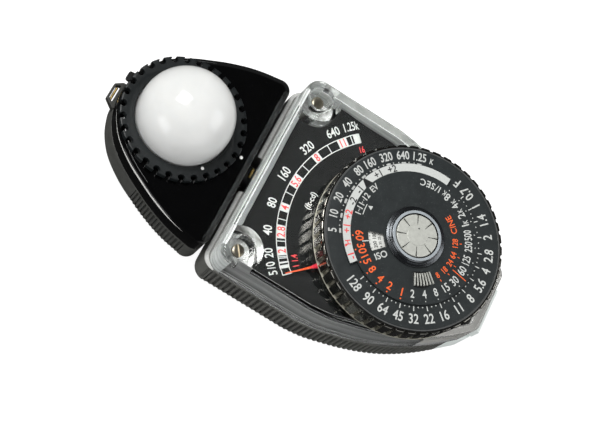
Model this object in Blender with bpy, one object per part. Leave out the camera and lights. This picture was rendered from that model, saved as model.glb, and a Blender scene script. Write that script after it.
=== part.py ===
# Hand-held exposure meter with a swivelling light head, a dial calculator and a needle meter.
# Metres, +Z up (out of the dial face), +Y towards the light head, the meter lying on its flat back.
import math

import bmesh
import bpy
from mathutils import Matrix, Vector

# ---------------------------------------------------------------- driving dimensions (mm)
HALF_W = 29.0        # half width of the body
BODY_END = 14.9      # y of the body's end wall under the head
COVER_END = 13.5     # y of the clear cover's end wall: the case shows beyond it as a ledge
TAIL = -58.0         # y of the tail
CASE_TOP = 12.0      # top of the rear case
COVER_BOT = 12.3     # lower rim of the clear cover
COVER_TOP = 23.5     # top of the clear cover
COVER_WALL = 1.9     # side wall of the clear cover
COVER_ROOF = 1.8     # roof of the clear cover
WALL = 1.8           # wall of the two plastic cases
FLOOR = 1.6          # thickness of the flat backs
BACK_R = 3.4         # height of the rounded edge round the back
GAP = 0.3            # running and assembly gap
DIAL_Y = -27.2       # dial axis
PIVOT_Y = -25.9      # needle axis, a little off the dial axis
RING_R = 25.35       # knurled ring, at the top
RING_R_LOW = 24.5    # knurled ring, at the bottom
RING_BOT, RING_TOP = 23.9, 30.7
TEETH = 48
FACE_TOP = 30.8      # top of the outer dial disc
DISC_TOP = 31.6      # top of the inner dial disc
BEZEL_TOP = 33.1
HEAD_Y = 38.1        # centre of the diffuser
HEAD_FOOT = 17.7     # y of the head's straight edge
HEAD_TIP = 55.2
HEAD_SPLIT = 10.0    # joint of the two head shells
HEAD_TOP = 17.0
DOME_R = 12.75
DOME_Z = 21.0        # centre of the diffuser's sphere
BAY_R = 17.0         # notched bayonet ring
NOTCHES = 30
SWIVEL_Z = 8.5       # height of the head's swivel axis, half the head's thickness
RIB_PITCH = 1.45
NEEDLE_REST = 135.6  # direction of the needle at rest, degrees from +X
MM = 0.001

for old in list(bpy.data.objects):
    bpy.data.objects.remove(old)


# ---------------------------------------------------------------- materials
def material(name, colour, roughness, metallic=0.0):
    made = bpy.data.materials.new(name)
    made.use_nodes = True
    shader = made.node_tree.nodes["Principled BSDF"]
    shader.inputs["Base Color"].default_value = (*colour, 1.0)
    shader.inputs["Roughness"].default_value = roughness
    shader.inputs["Metallic"].default_value = metallic
    return made


SATIN_BLACK = material("satin_black_plastic", (0.030, 0.031, 0.028), 0.55)
GLOSS_BLACK = material("gloss_black_plastic", (0.012, 0.012, 0.013), 0.12)
CLEAR = material("clear_plastic", (0.80, 0.85, 0.84), 0.08)
PLATE_BLACK = material("matt_black_paint", (0.018, 0.019, 0.020), 0.7)
DIAL_GREY = material("charcoal_dial", (0.045, 0.052, 0.055), 0.45)
WHITE = material("white_plate", (0.80, 0.80, 0.78), 0.5)
CHROME = material("chrome", (0.72, 0.74, 0.76), 0.15, 1.0)
ALUMINIUM = material("satin_aluminium", (0.66, 0.66, 0.63), 0.35, 1.0)
STEEL = material("steel", (0.55, 0.56, 0.57), 0.3, 1.0)
BRASS = material("brass", (0.68, 0.50, 0.22), 0.3, 1.0)
COPPER = material("copper_wire", (0.62, 0.30, 0.16), 0.4, 1.0)
ORANGE = material("orange_needle", (0.85, 0.18, 0.05), 0.5)
MILK = material("milk_white_diffuser", (0.82, 0.84, 0.82), 0.25)
BOARD = material("green_board", (0.05, 0.20, 0.09), 0.5)
CELL = material("photocell", (0.10, 0.09, 0.12), 0.2)
BAYONET = material("charcoal_ring", (0.045, 0.055, 0.060), 0.5)


# ---------------------------------------------------------------- mesh helpers (all take mm)
def put(name, bm, mat, smooth=False, origin=(0.0, 0.0, 0.0), helper=False):
    bmesh.ops.recalc_face_normals(bm, faces=bm.faces[:])
    move = Vector(origin) * MM
    for v in bm.verts:
        v.co = v.co * MM - move
    mesh = bpy.data.meshes.new(name)
    bm.to_mesh(mesh)
    bm.free()
    obj = bpy.data.objects.new(name, mesh)
    obj.location = move
    bpy.context.scene.collection.objects.link(obj)
    if mat is not None:
        mesh.materials.append(mat)
    if smooth:
        mesh.shade_smooth()
        mesh.set_sharp_from_angle(angle=math.radians(35))
    if helper:
        obj.hide_render = True
        obj.display_type = "WIRE"
    return obj


def boolean(obj, other, operation="DIFFERENCE"):
    made = obj.modifiers.new(operation.lower(), "BOOLEAN")
    made.operation = operation
    made.solver = "EXACT"
    made.object = other
    return obj


def bevel(obj, width, segments=2, angle=40):
    made = obj.modifiers.new("bevel", "BEVEL")
    made.width = width * MM
    made.segments = segments
    made.limit_method = "ANGLE"
    made.angle_limit = math.radians(angle)
    return obj


def loft(bm, loops):
    """Loops of the same number of points, each at its own height, joined and capped at both ends."""
    assert len({len(pts) for pts, z in loops}) == 1
    rings = [[bm.verts.new((x, y, z)) for x, y in pts] for pts, z in loops]
    for low, high in zip(rings, rings[1:]):
        n = len(low)
        for i in range(n):
            bm.faces.new((low[i], low[(i + 1) % n], high[(i + 1) % n], high[i]))
    bm.faces.new(list(reversed(rings[0])))
    bm.faces.new(rings[-1])
    return bm


def prism(bm, pts, z0, z1):
    return loft(bm, [(pts, z0), (pts, z1)])


def box(bm, x0, x1, y0, y1, z0, z1):
    return prism(bm, [(x0, y0), (x1, y0), (x1, y1), (x0, y1)], z0, z1)


def lathe(bm, profile, segments, centre=(0.0, 0.0), start=0.0):
    """Turns a closed (r, z) profile about a vertical line. Points on the line become one vertex."""
    rings = []
    for r, z in profile:
        if r < 1e-6:
            rings.append([bm.verts.new((centre[0], centre[1], z))])
        else:
            rings.append([
                bm.verts.new((
                    centre[0] + r * math.cos(start + 2 * math.pi * i / segments),
                    centre[1] + r * math.sin(start + 2 * math.pi * i / segments),
                    z,
                ))
                for i in range(segments)
            ])
    pairs = list(zip(rings, rings[1:] + rings[:1]))
    for a, b in pairs:
        for i in range(segments):
            j = (i + 1) % segments
            if len(a) == 1 and len(b) == 1:
                break
            if len(a) == 1:
                bm.faces.new((a[0], b[i], b[j]))
            elif len(b) == 1:
                bm.faces.new((a[i], a[j], b[0]))
            else:
                bm.faces.new((a[i], a[j], b[j], b[i]))
    return bm


def cylinder(bm, r, z0, z1, segments=32, centre=(0.0, 0.0), start=0.0):
    return lathe(bm, [(0, z0), (r, z0), (r, z1), (0, z1)], segments, centre, start)


def turn_to_y(bm, height):
    """Lays a shape turned about Z down so that its axis runs along +Y at this height."""
    for v in bm.verts:
        x, y, z = v.co
        v.co = Vector((x, z, height - y))
    return bm


def circle(r, n, centre=(0.0, 0.0), start=0.0):
    return [
        (centre[0] + r * math.cos(start + 2 * math.pi * i / n), centre[1] + r * math.sin(start + 2 * math.pi * i / n))
        for i in range(n)
    ]


def filleted(keys, steps=6):
    """A closed outline from (x, y, radius) keys, each corner rounded by its radius."""
    out = []
    n = len(keys)
    for i in range(n):
        x, y, r = keys[i]
        if r <= 0:
            out.append((x, y))
            continue
        p, a, b = Vector((x, y)), Vector(keys[i - 1][:2]), Vector(keys[(i + 1) % n][:2])
        u, w = (a - p).normalized(), (b - p).normalized()
        half = math.acos(max(-1.0, min(1.0, u.dot(w)))) / 2
        reach = r / math.tan(half)
        centre = p + (u + w).normalized() * (r / math.sin(half))
        first, last = p + u * reach - centre, p + w * reach - centre
        a0 = math.atan2(first.y, first.x)
        a1 = math.atan2(last.y, last.x)
        turn = (a1 - a0 + math.pi) % (2 * math.pi) - math.pi
        for k in range(steps + 1):
            t = a0 + turn * k / steps
            out.append((centre.x + r * math.cos(t), centre.y + r * math.sin(t)))
    return out


def normals_of(pts):
    """Outward normals at the points of an open run that goes with the solid on its left."""
    out = []
    for i in range(len(pts)):
        a = Vector(pts[max(i - 1, 0)])
        b = Vector(pts[min(i + 1, len(pts) - 1)])
        d = (b - a).normalized()
        out.append(Vector((d.y, -d.x)))
    return out


def curve_through(keys, steps):
    """Points along a Catmull-Rom curve."""
    pts = [Vector(k) for k in keys]
    pts = [pts[0] * 2 - pts[1]] + pts + [pts[-1] * 2 - pts[-2]]
    out = []
    for i in range(1, len(pts) - 2):
        p0, p1, p2, p3 = pts[i - 1:i + 3]
        for k in range(steps):
            t = k / steps
            out.append(0.5 * ((2 * p1) + (p2 - p0) * t + (2 * p0 - 5 * p1 + 4 * p2 - p3) * t * t + (3 * p1 - p0 - 3 * p2 + p3) * t ** 3))
    out.append(pts[-2])
    return [(p.x, p.y) for p in out]


# The right-hand side of the body, from the tail up, as measured
BODY_SIDE = curve_through(
    [(10.2, -54.0), (14.3, -49.4), (17.8, -44.7), (20.9, -39.7), (23.4, -34.5), (25.4, -29.2), (27.05, -23.6), (28.35, -18.4), (29.0, -13.0)], 2
)
BODY_NORMALS = normals_of(BODY_SIDE)
# The right-hand side of the head, from its foot up to near the tip
HEAD_SIDE = curve_through(
    [(26.1, 21.4), (25.35, 25.45), (24.4, 29.0), (23.2, 32.3), (21.8, 35.6), (20.3, 38.6), (17.35, 44.0), (13.3, 49.3), (8.7, 52.8), (4.6, 54.5)], 2
)
HEAD_NORMALS = normals_of(HEAD_SIDE)


def body_outline(inset, end, tail=TAIL, corner=4.0):
    side = [
        (p[0] - n.x * inset, p[1] - n.y * inset) for p, n in zip(BODY_SIDE, BODY_NORMALS) if p[1] > tail + 2.2
    ]
    side[-1] = (HALF_W - inset, side[-1][1])
    (x0, y0), (x1, y1) = side[0], side[1]
    floor = tail + inset
    foot = x0 + (x1 - x0) * (floor - y0) / (y1 - y0)
    radius = max(corner - inset, 0.6)
    keys = [(foot, floor, max(3.2 - inset, 0.8))] + [(x, y, 0) for x, y in side] + [(HALF_W - inset, end, radius)]
    keys += [(-x, y, r) for x, y, r in reversed(keys)]
    return filleted(keys)


def head_outline(inset):
    side = [(p[0] - n.x * inset, p[1] - n.y * inset) for p, n in zip(HEAD_SIDE, HEAD_NORMALS)]
    foot = HEAD_FOOT + inset
    tip = HEAD_TIP - inset
    (x0, y0), (x1, y1) = side[0], side[1]
    x = x0 + (x1 - x0) * (foot - y0) / (y1 - y0)
    keys = [(x, foot, max(3.0 - inset, 0.5))] + [(a, b, 0) for a, b in side] + [(1.9, tip - 0.12, 0)]
    keys += [(-a, b, r) for a, b, r in reversed(keys)]
    return filleted(keys)


def run_length(pts):
    total, out = 0.0, [0.0]
    for a, b in zip(pts, pts[1:]):
        total += math.dist(a, b)
        out.append(total)
    return out


def along(pts, s):
    """The point and the outward normal at a distance s along an open run."""
    lengths = run_length(pts)
    for i in range(len(pts) - 1):
        if lengths[i + 1] >= s:
            t = (s - lengths[i]) / (lengths[i + 1] - lengths[i])
            a, b = Vector(pts[i]), Vector(pts[i + 1])
            d = (b - a).normalized()
            return a.lerp(b, t), Vector((d.y, -d.x))
    return None, None


def grooves(name, pts, first, last, z0, z1, z_tip):
    """V-shaped upright grooves at the rib pitch, on both sides of the object, as one cutter."""
    bm = bmesh.new()
    s = first
    while s <= last:
        p, n = along(pts, s)
        for side in (1, -1):
            c = Vector((p.x * side, p.y))
            m = Vector((n.x * side, n.y))
            t = Vector((-m.y, m.x))
            section = [c + m * 0.35 + t * 0.62, c + m * 0.35 - t * 0.62, c - m * 0.34]
            low = [bm.verts.new((q.x, q.y, z0)) for q in section]
            high = [bm.verts.new((q.x, q.y, z1)) for q in section]
            tip = c + m * 0.35
            end = bm.verts.new((tip.x, tip.y, z_tip))
            for i in range(3):
                j = (i + 1) % 3
                bm.faces.new((low[i], low[j], high[j], high[i]))
                bm.faces.new((low[j], low[i], end))
            bm.faces.new(high)
        s += RIB_PITCH
    return put(name, bm, None, helper=True)


# ---------------------------------------------------------------- rear case of the body
SCREWS = [(-24.0, 9.7), (24.0, 9.7)]
TAIL_SCREW = (0.0, -52.9)

bm = bmesh.new()
loft(bm, [
    (body_outline(3.0, BODY_END - 3.0), 0.0),
    (body_outline(1.55, BODY_END - 1.55), 0.45),
    (body_outline(0.5, BODY_END - 0.5), 1.6),
    (body_outline(0.0, BODY_END), BACK_R),
    (body_outline(0.0, BODY_END), CASE_TOP),
    (body_outline(WALL, BODY_END - WALL), CASE_TOP),
    (body_outline(WALL, BODY_END - WALL), BACK_R),
    (body_outline(3.1, BODY_END - 3.1), FLOOR),
])
rear_case = put("rear_case", bm, SATIN_BLACK)

bosses = bmesh.new()
for sx, sy in SCREWS:
    cylinder(bosses, 2.9, FLOOR - 0.4, CASE_TOP - 0.1, 20, (sx, sy))
cylinder(bosses, 2.6, FLOOR - 0.4, CASE_TOP - 0.1, 20, TAIL_SCREW)
boolean(rear_case, put("case_bosses", bosses, None, helper=True), "UNION")

holes = bmesh.new()
for sx, sy in SCREWS:
    cylinder(holes, 1.2, 4.0, CASE_TOP + 1, 14, (sx, sy), 0.17)
cylinder(holes, 1.2, 1.0, CASE_TOP + 1, 14, TAIL_SCREW, 0.17)
boolean(rear_case, put("case_holes", holes, None, helper=True))
sinks = bmesh.new()
cylinder(sinks, 2.2, -1.0, 1.8, 18, TAIL_SCREW, 0.07)
cylinder(sinks, 2.1, -1.0, FLOOR + 1, 18, (0.0, PIVOT_Y), 0.07)
box(sinks, -5.55, 5.55, BODY_END - 3.2, BODY_END + 1, 3.0, CASE_TOP + 1)
boolean(rear_case, put("case_openings", sinks, None, helper=True))
pocket = bmesh.new()
prism(pocket, filleted([(-19.0, -42.0, 3.0), (19.0, -42.0, 3.0), (19.0, 8.0, 3.0), (-19.0, 8.0, 3.0)], 5), -1.0, 0.85)
boolean(rear_case, put("back_pocket", pocket, None, helper=True))

right_run = [p for p in BODY_SIDE] + [(HALF_W, BODY_END - 3.6)]
total = run_length(right_run)[-1]
rib_cutter = grooves(
    "case_rib_cutter", right_run, 1.4, total - 0.5, 4.0, 11.1, 3.2,
)
boolean(rear_case, rib_cutter)

# ---------------------------------------------------------------- clear cover over the meter scale
bm = bmesh.new()
cover_tail = TAIL + 1.9
loft(bm, [
    (body_outline(COVER_WALL, COVER_END - 1.0, cover_tail), COVER_TOP - COVER_ROOF),
    (body_outline(COVER_WALL, COVER_END - 1.0, cover_tail), COVER_BOT),
    (body_outline(0.0, COVER_END, cover_tail), COVER_BOT),
    (body_outline(0.0, COVER_END, cover_tail), COVER_TOP - 0.9),
    (body_outline(0.3, COVER_END - 0.3, cover_tail), COVER_TOP - 0.3),
    (body_outline(0.95, COVER_END - 0.95, cover_tail), COVER_TOP),
])
front_cover = put("front_cover", bm, CLEAR)
# Round bosses in the two corners, trimmed to the cover's own outline
trim = bmesh.new()
prism(trim, body_outline(0.4, COVER_END - 0.4, cover_tail), COVER_BOT - 1, COVER_TOP + 1)
trim = put("boss_trim", trim, None, helper=True)
for k, (sx, sy) in enumerate(SCREWS):
    b = bmesh.new()
    cylinder(b, 6.0, COVER_BOT + 0.1, COVER_TOP - 1.0, 36, (sx, sy))
    b = put("cover_boss_%d" % k, b, None, helper=True)
    boolean(b, trim, "INTERSECT")
    boolean(front_cover, b, "UNION")
tail_boss = bmesh.new()
cylinder(tail_boss, 2.3, COVER_BOT + 0.1, COVER_TOP - 1.0, 20, TAIL_SCREW)
boolean(front_cover, put("cover_tail_boss", tail_boss, None, helper=True), "UNION")
# Rounded catch ridge at the tail
ridge = bmesh.new()
section = [(-55.2, COVER_BOT), (-57.95, COVER_BOT), (-58.0, 16.2), (-57.85, 16.9), (-57.5, 17.3), (-57.0, 17.45), (-56.4, 17.3), (-55.2, 16.4)]
left = [ridge.verts.new((-6.4, y, z)) for y, z in section]
right = [ridge.verts.new((6.4, y, z)) for y, z in section]
for i in range(len(section)):
    j = (i + 1) % len(section)
    ridge.faces.new((left[i], left[j], right[j], right[i]))
ridge.faces.new(left)
ridge.faces.new(list(reversed(right)))
boolean(front_cover, put("cover_ridge", ridge, None, helper=True), "UNION")
cuts = bmesh.new()
for sx, sy in SCREWS:
    lathe(cuts, [(0, COVER_BOT - 1), (1.2, COVER_BOT - 1), (1.2, 19.0), (3.3, 19.0), (3.3, COVER_TOP + 1), (0, COVER_TOP + 1)], 26, (sx, sy), 0.13)
cylinder(cuts, 1.0, COVER_BOT - 1, 19.0, 14, TAIL_SCREW, 0.17)
cylinder(cuts, 5.5, COVER_TOP - 4, COVER_TOP + 1, 40, (0.0, DIAL_Y))
boolean(front_cover, put("cover_cuts", cuts, None, helper=True))

# ---------------------------------------------------------------- scale plate under the cover
PLATE_TOP = 18.0
bm = bmesh.new()
prism(bm, body_outline(COVER_WALL + GAP, COVER_END - 1.0 - GAP, -51.8, 3.0), PLATE_TOP - 1.0, PLATE_TOP)
scale_plate = put("scale_plate", bm, PLATE_BLACK)
cuts = bmesh.new()
for sx, sy in SCREWS:
    cylinder(cuts, 6.0 + GAP, 10, 25, 36, (sx, sy))
cylinder(cuts, 1.8, 10, 25, 24, (0.0, PIVOT_Y))
boolean(scale_plate, put("plate_cuts", cuts, None, helper=True))

# ---------------------------------------------------------------- meter movement
P = (0.0, PIVOT_Y)
bm = bmesh.new()
cylinder(bm, 14.0, FLOOR + GAP, 3.1, 36, P)
movement = put("movement_frame", bm, ALUMINIUM)
pillars = bmesh.new()
for k in range(4):
    a = math.radians(45 + 90 * k)
    cylinder(pillars, 1.5, FLOOR + GAP + 0.2, PLATE_TOP - 1.0 - GAP, 16, (12.4 * math.cos(a), PIVOT_Y + 12.4 * math.sin(a)), 0.11)
boolean(movement, put("movement_pillars", pillars, None, helper=True), "UNION")
bridge = bmesh.new()
c45 = math.cos(math.radians(45))
run, wide = 11.9, 2.15
corners = [(run, wide), (-run, wide), (-run, -wide), (run, -wide)]
prism(bridge, [(a * c45 - b * c45, PIVOT_Y + a * c45 + b * c45) for a, b in corners], 14.6, 15.8)
boolean(movement, put("movement_bridge", bridge, None, helper=True), "UNION")
cuts = bmesh.new()
cylinder(cuts, 0.9, 14.0, 17.0, 16, P)
boolean(movement, put("movement_bore", cuts, None, helper=True))

bm = bmesh.new()
lathe(bm, [(8.2, 3.4), (10.6, 3.4), (10.6, 12.4), (8.2, 12.4)], 32, P)
put("magnet_yoke", bm, STEEL, smooth=True)

bm = bmesh.new()
cylinder(bm, 5.2, 4.8, 11.2, 24, P)
core = put("magnet_core", bm, STEEL, smooth=True)
arm = bmesh.new()
box(arm, -7.9, 7.9, PIVOT_Y - 1.3, PIVOT_Y + 1.3, 7.0, 9.0)
boolean(core, put("core_arm", arm, None, helper=True), "UNION")
bore = bmesh.new()
cylinder(bore, 1.0, 4.0, 12.0, 16, P)
boolean(core, put("core_bore", bore, None, helper=True))


def around_pivot(bm, degrees):
    turn = Matrix.Rotation(math.radians(degrees), 4, "Z")
    for v in bm.verts:
        v.co = turn @ v.co + Vector((P[0], P[1], 0.0))
    return bm


bm = bmesh.new()
box(bm, -7.2, 7.2, -1.1, 1.1, 3.7, 12.2)
coil = put("moving_coil", around_pivot(bm, NEEDLE_REST), COPPER, origin=(*P, 0.0))
cuts = bmesh.new()
box(cuts, -6.0, 6.0, -3.0, 3.0, 4.4, 11.5)
boolean(coil, put("coil_window", around_pivot(cuts, NEEDLE_REST), None, helper=True))
cuts = bmesh.new()
cylinder(cuts, 0.8, 3.0, 13.0, 16, P)
boolean(coil, put("coil_bore", cuts, None, helper=True))

bm = bmesh.new()
cylinder(bm, 0.5, 3.4, 19.95, 16, P)
put("pivot_staff", bm, STEEL, smooth=True, origin=(*P, 0.0))

bm = bmesh.new()
outline = [(31.6, -0.14), (31.6, 0.14), (24.2, 0.25), (21.0, 0.95), (20.4, 0.3), (1.4, 0.45)]
hub = [(1.5 * math.cos(math.radians(a)), 1.5 * math.sin(math.radians(a))) for a in range(20, 341, 20)]
prism(bm, outline + hub + [(1.4, -0.45), (20.4, -0.3), (21.0, -0.95), (24.2, -0.25)], 19.2, 19.6)
needle = put("needle", around_pivot(bm, NEEDLE_REST), ORANGE, origin=(*P, 0.0))
cuts = bmesh.new()
cylinder(cuts, 0.8, 18.0, 21.0, 16, P)
boolean(needle, put("needle_bore", cuts, None, helper=True))

curve = bpy.data.curves.new("hairspring", "CURVE")
curve.dimensions = "3D"
curve.bevel_depth = 0.16 * MM
curve.bevel_resolution = 0
curve.use_fill_caps = True
spline = curve.splines.new("POLY")
turns, steps = 3.0, 42
spline.points.add(steps)
for i in range(steps + 1):
    t = i / steps
    a = math.radians(NEEDLE_REST - 90) + 2 * math.pi * turns * t
    r = (0.95 + 3.6 * t) * MM
    spline.points[i].co = (r * math.cos(a), r * math.sin(a), 0.0, 1.0)
hairspring = bpy.data.objects.new("hairspring", curve)
hairspring.location = (P[0] * MM, P[1] * MM, 13.5 * MM)
hairspring.data.materials.append(BRASS)
bpy.context.scene.collection.objects.link(hairspring)


def slotted_screw(name, centre, z_top, head_r, head_h, shank_r, z_end, mat, up=True, spin=0.0):
    """A slotted screw. up: the head faces +Z."""
    d = 1.0 if up else -1.0
    bm = bmesh.new()
    lathe(bm, [
        (0, z_top), (head_r - 0.2, z_top), (head_r, z_top - d * 0.25), (head_r, z_top - d * head_h),
        (shank_r, z_top - d * head_h), (shank_r, z_end), (0, z_end),
    ], 16, centre)
    obj = put(name, bm, mat, origin=(*centre, 0.0))
    slot = bmesh.new()
    low, high = sorted((z_top - d * head_h * 0.45, z_top + d * 1.0))
    turn = math.radians(spin)
    pts = [(-4, -0.3), (4, -0.3), (4, 0.3), (-4, 0.3)]
    prism(slot, [
        (centre[0] + a * math.cos(turn) - b * math.sin(turn), centre[1] + a * math.sin(turn) + b * math.cos(turn)) for a, b in pts
    ], low, high)
    boolean(obj, put(name + "_slot", slot, None, helper=True))
    return obj


# Screws that clamp the cover to the rear case
slotted_screw("cover_screw_left", SCREWS[0], 20.5, 2.05, 1.25, 0.9, 6.0, BRASS, spin=35)
slotted_screw("cover_screw_right", SCREWS[1], 20.5, 2.05, 1.25, 0.9, 6.0, BRASS, spin=-20)
slotted_screw("tail_screw", TAIL_SCREW, 0.35, 1.85, 1.1, 0.7, 17.5, STEEL, up=False, spin=60)
slotted_screw("zero_screw", P, 0.3, 1.75, 1.1, 1.0, 1.58, BRASS, up=False, spin=15)

# ---------------------------------------------------------------- plate let into the back, terminal board
bm = bmesh.new()
prism(bm, filleted([(-18.7, -41.7, 2.7), (18.7, -41.7, 2.7), (18.7, 7.7, 2.7), (-18.7, 7.7, 2.7)], 5), 0.12, 0.55)
back_plate = put("back_plate", bm, ALUMINIUM)
cuts = bmesh.new()
cylinder(cuts, 2.5, -1.0, 2.0, 20, P, 0.07)
boolean(back_plate, put("back_plate_hole", cuts, None, helper=True))
bm = bmesh.new()
box(bm, -11.0, 11.0, -7.5, 5.5, 3.0, 4.2)
board = put("terminal_board", bm, BOARD)
feet = bmesh.new()
for sx, sy in ((-8.5, -5.0), (8.5, -5.0), (-8.5, 3.0), (8.5, 3.0)):
    cylinder(feet, 1.0, FLOOR + GAP, 3.3, 10, (sx, sy), 0.1)
boolean(board, put("board_feet", feet, None, helper=True), "UNION")

# ---------------------------------------------------------------- dial calculator
D = (0.0, DIAL_Y)
bm = bmesh.new()
lathe(bm, [
    (0, 20.6), (8.0, 20.6), (8.0, 21.4), (5.2, 21.4), (5.2, 23.8), (9.0, 23.8), (9.0, 25.0), (3.5, 25.0),
    (3.5, 30.6), (2.8, 30.6), (2.8, 25.4), (0, 25.4),
], 28, D)
put("dial_hub", bm, ALUMINIUM, smooth=True)

def toothed(radius, depth):
    """The ring's fluted outline: each tooth a wide flat crown, a steep and a slanted flank."""
    out = []
    for k in range(TEETH):
        a = 2 * math.pi * k / TEETH
        p = 2 * math.pi / TEETH
        out.append((radius, a))
        out.append((radius, a + 0.46 * p))
        out.append((radius - depth, a + 0.62 * p))
        out.append((radius - depth, a + 0.84 * p))
    return [(D[0] + r * math.cos(a), D[1] + r * math.sin(a)) for r, a in out]

bm = bmesh.new()
loft(bm, [
    (toothed(RING_R_LOW, 0.70), RING_BOT),
    (toothed(RING_R, 0.70), RING_TOP - 0.45),
    (toothed(RING_R - 0.3, 0.25), RING_TOP),
])
ring = put("knurled_ring", bm, GLOSS_BLACK, origin=(*D, 0.0))
cuts = bmesh.new()
lathe(cuts, [(0, RING_BOT - 1), (22.6, RING_BOT - 1), (22.6, 25.6), (0, 25.6)], 44, D)
lathe(cuts, [(0, 27.2), (22.8, 27.2), (22.8, 29.3), (24.3, 29.3), (24.3, RING_TOP + 1), (0, RING_TOP + 1)], 44, D)
boolean(ring, put("ring_hollows", cuts, None, helper=True))
cuts = bmesh.new()
cylinder(cuts, 3.8, 24, 28, 24, D)
boolean(ring, put("ring_bore", cuts, None, helper=True))

bm = bmesh.new()
lathe(bm, [(17.0, 29.6), (24.0, 29.6), (24.0, FACE_TOP - 0.15), (23.85, FACE_TOP), (17.0, FACE_TOP)], 48, D)
put("dial_face", bm, DIAL_GREY, origin=(*D, 0.0))

bm = bmesh.new()
lathe(bm, [(4.9, 27.5), (5.9, 27.5), (5.9, 29.9), (16.7, 29.9), (16.7, 30.7), (4.9, 30.7)], 40, D)
put("film_disc", bm, WHITE, origin=(*D, 0.0))

# Inner dial: a thin disc with a wider sector that carries the white correction scale
bm = bmesh.new()
sector = []
for k in range(72):
    a = -5.5 + 148.8 * k / 31 if k < 32 else 143.3 + 211.2 * (k - 32) / 39
    r = 19.9 if k < 32 else 17.8
    sector.append((D[0] + r * math.cos(math.radians(a)), D[1] + r * math.sin(math.radians(a))))
prism(bm, sector, 31.1, DISC_TOP)
inner = put("inner_dial", bm, DIAL_GREY, origin=(*D, 0.0))
sleeve = bmesh.new()
cylinder(sleeve, 4.6, 27.6, 31.3, 24, D)
boolean(inner, put("inner_sleeve", sleeve, None, helper=True), "UNION")
cuts = bmesh.new()
cylinder(cuts, 3.8, 27, 33, 22, D)
# film speed window
window = [(8.55, 117.2), (12.9, 114.6), (12.9, 127.0), (12.7, 138.9), (8.55, 139.8), (8.5, 128.5)]
prism(cuts, [(D[0] + r * math.cos(math.radians(a)), D[1] + r * math.sin(math.radians(a))) for r, a in reversed(window)], 30.9, 33.0)
boolean(inner, put("inner_cuts", cuts, None, helper=True))

# Ridged tab that turns the film speed disc
bm = bmesh.new()
tab = [(9.3, -159), (13.2, -155.5), (13.4, -145.5), (13.2, -135.5), (9.6, -130.0), (9.3, -144.5)]
prism(bm, [(D[0] + r * math.cos(math.radians(a)), D[1] + r * math.sin(math.radians(a))) for r, a in tab], DISC_TOP + GAP * 0.5, 32.3)
tab = put("speed_tab", bm, SATIN_BLACK, origin=(*D, 0.0))
cuts = bmesh.new()
for k in range(6):
    a = math.radians(-154.2 + 4.0 * k)
    u, w = Vector((math.cos(a), math.sin(a))), Vector((-math.sin(a), math.cos(a)))
    centre = Vector(D)
    pts = [centre + u * 9.7 - w * 0.17, centre + u * 12.9 - w * 0.19, centre + u * 12.9 + w * 0.19, centre + u * 9.7 + w * 0.17]
    prism(cuts, [(q.x, q.y) for q in pts], 32.05, 33.5)
boolean(tab, put("tab_ridges", cuts, None, helper=True))

# Chrome bezel with stepped side, and the push button inside it
bm = bmesh.new()
lathe(bm, [
    (5.95, 31.9), (7.7, 31.9), (7.7, 32.2), (7.3, 32.25), (7.3, 32.7), (6.95, 32.75), (6.75, BEZEL_TOP), (5.95, BEZEL_TOP),
], 40, D)
put("bezel", bm, CHROME, smooth=True, origin=(*D, 0.0))

bm = bmesh.new()
lathe(bm, [(0, 26.6), (1.1, 26.6), (1.1, 32.4), (5.65, 32.4), (5.65, 32.95), (5.35, 33.2), (2.9, 33.2), (2.75, 33.35), (0, 33.35)], 32, D)
button = put("button", bm, ALUMINIUM, origin=(*D, 0.0))
cuts = bmesh.new()
for k in range(8):
    a = math.radians(22.5 + 45 * k)
    u, w = Vector((math.cos(a), math.sin(a))), Vector((-math.sin(a), math.cos(a)))
    c = Vector(D)
    near, far = c + u * 3.15, c + u * 6.2
    a0 = cuts.verts.new((*(near + w * 0.22), 33.6))
    a1 = cuts.verts.new((*(near - w * 0.22), 33.6))
    a2 = cuts.verts.new((*near, 33.0))
    b0 = cuts.verts.new((*(far + w * 0.62), 33.6))
    b1 = cuts.verts.new((*(far - w * 0.62), 33.6))
    b2 = cuts.verts.new((*far, 32.72))
    cuts.faces.new((a0, a1, a2))
    cuts.faces.new((b0, b2, b1))
    cuts.faces.new((a0, b0, b1, a1))
    cuts.faces.new((a1, b1, b2, a2))
    cuts.faces.new((a2, b2, b0, a0))
boolean(button, put("button_grooves", cuts, None, helper=True))

curve = bpy.data.curves.new("button_spring", "CURVE")
curve.dimensions = "3D"
curve.bevel_depth = 0.22 * MM
curve.bevel_resolution = 0
curve.use_fill_caps = True
spline = curve.splines.new("POLY")
turns, steps, z0, z1 = 5.0, 50, 25.8, 32.05
spline.points.add(steps)
for i in range(steps + 1):
    t = i / steps
    a = 2 * math.pi * turns * t
    spline.points[i].co = (1.9 * MM * math.cos(a), 1.9 * MM * math.sin(a), (z0 + (z1 - z0) * t) * MM, 1.0)
spring = bpy.data.objects.new("button_spring", curve)
spring.location = (D[0] * MM, D[1] * MM, 0.0)
spring.data.materials.append(STEEL)
bpy.context.scene.collection.objects.link(spring)

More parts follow.
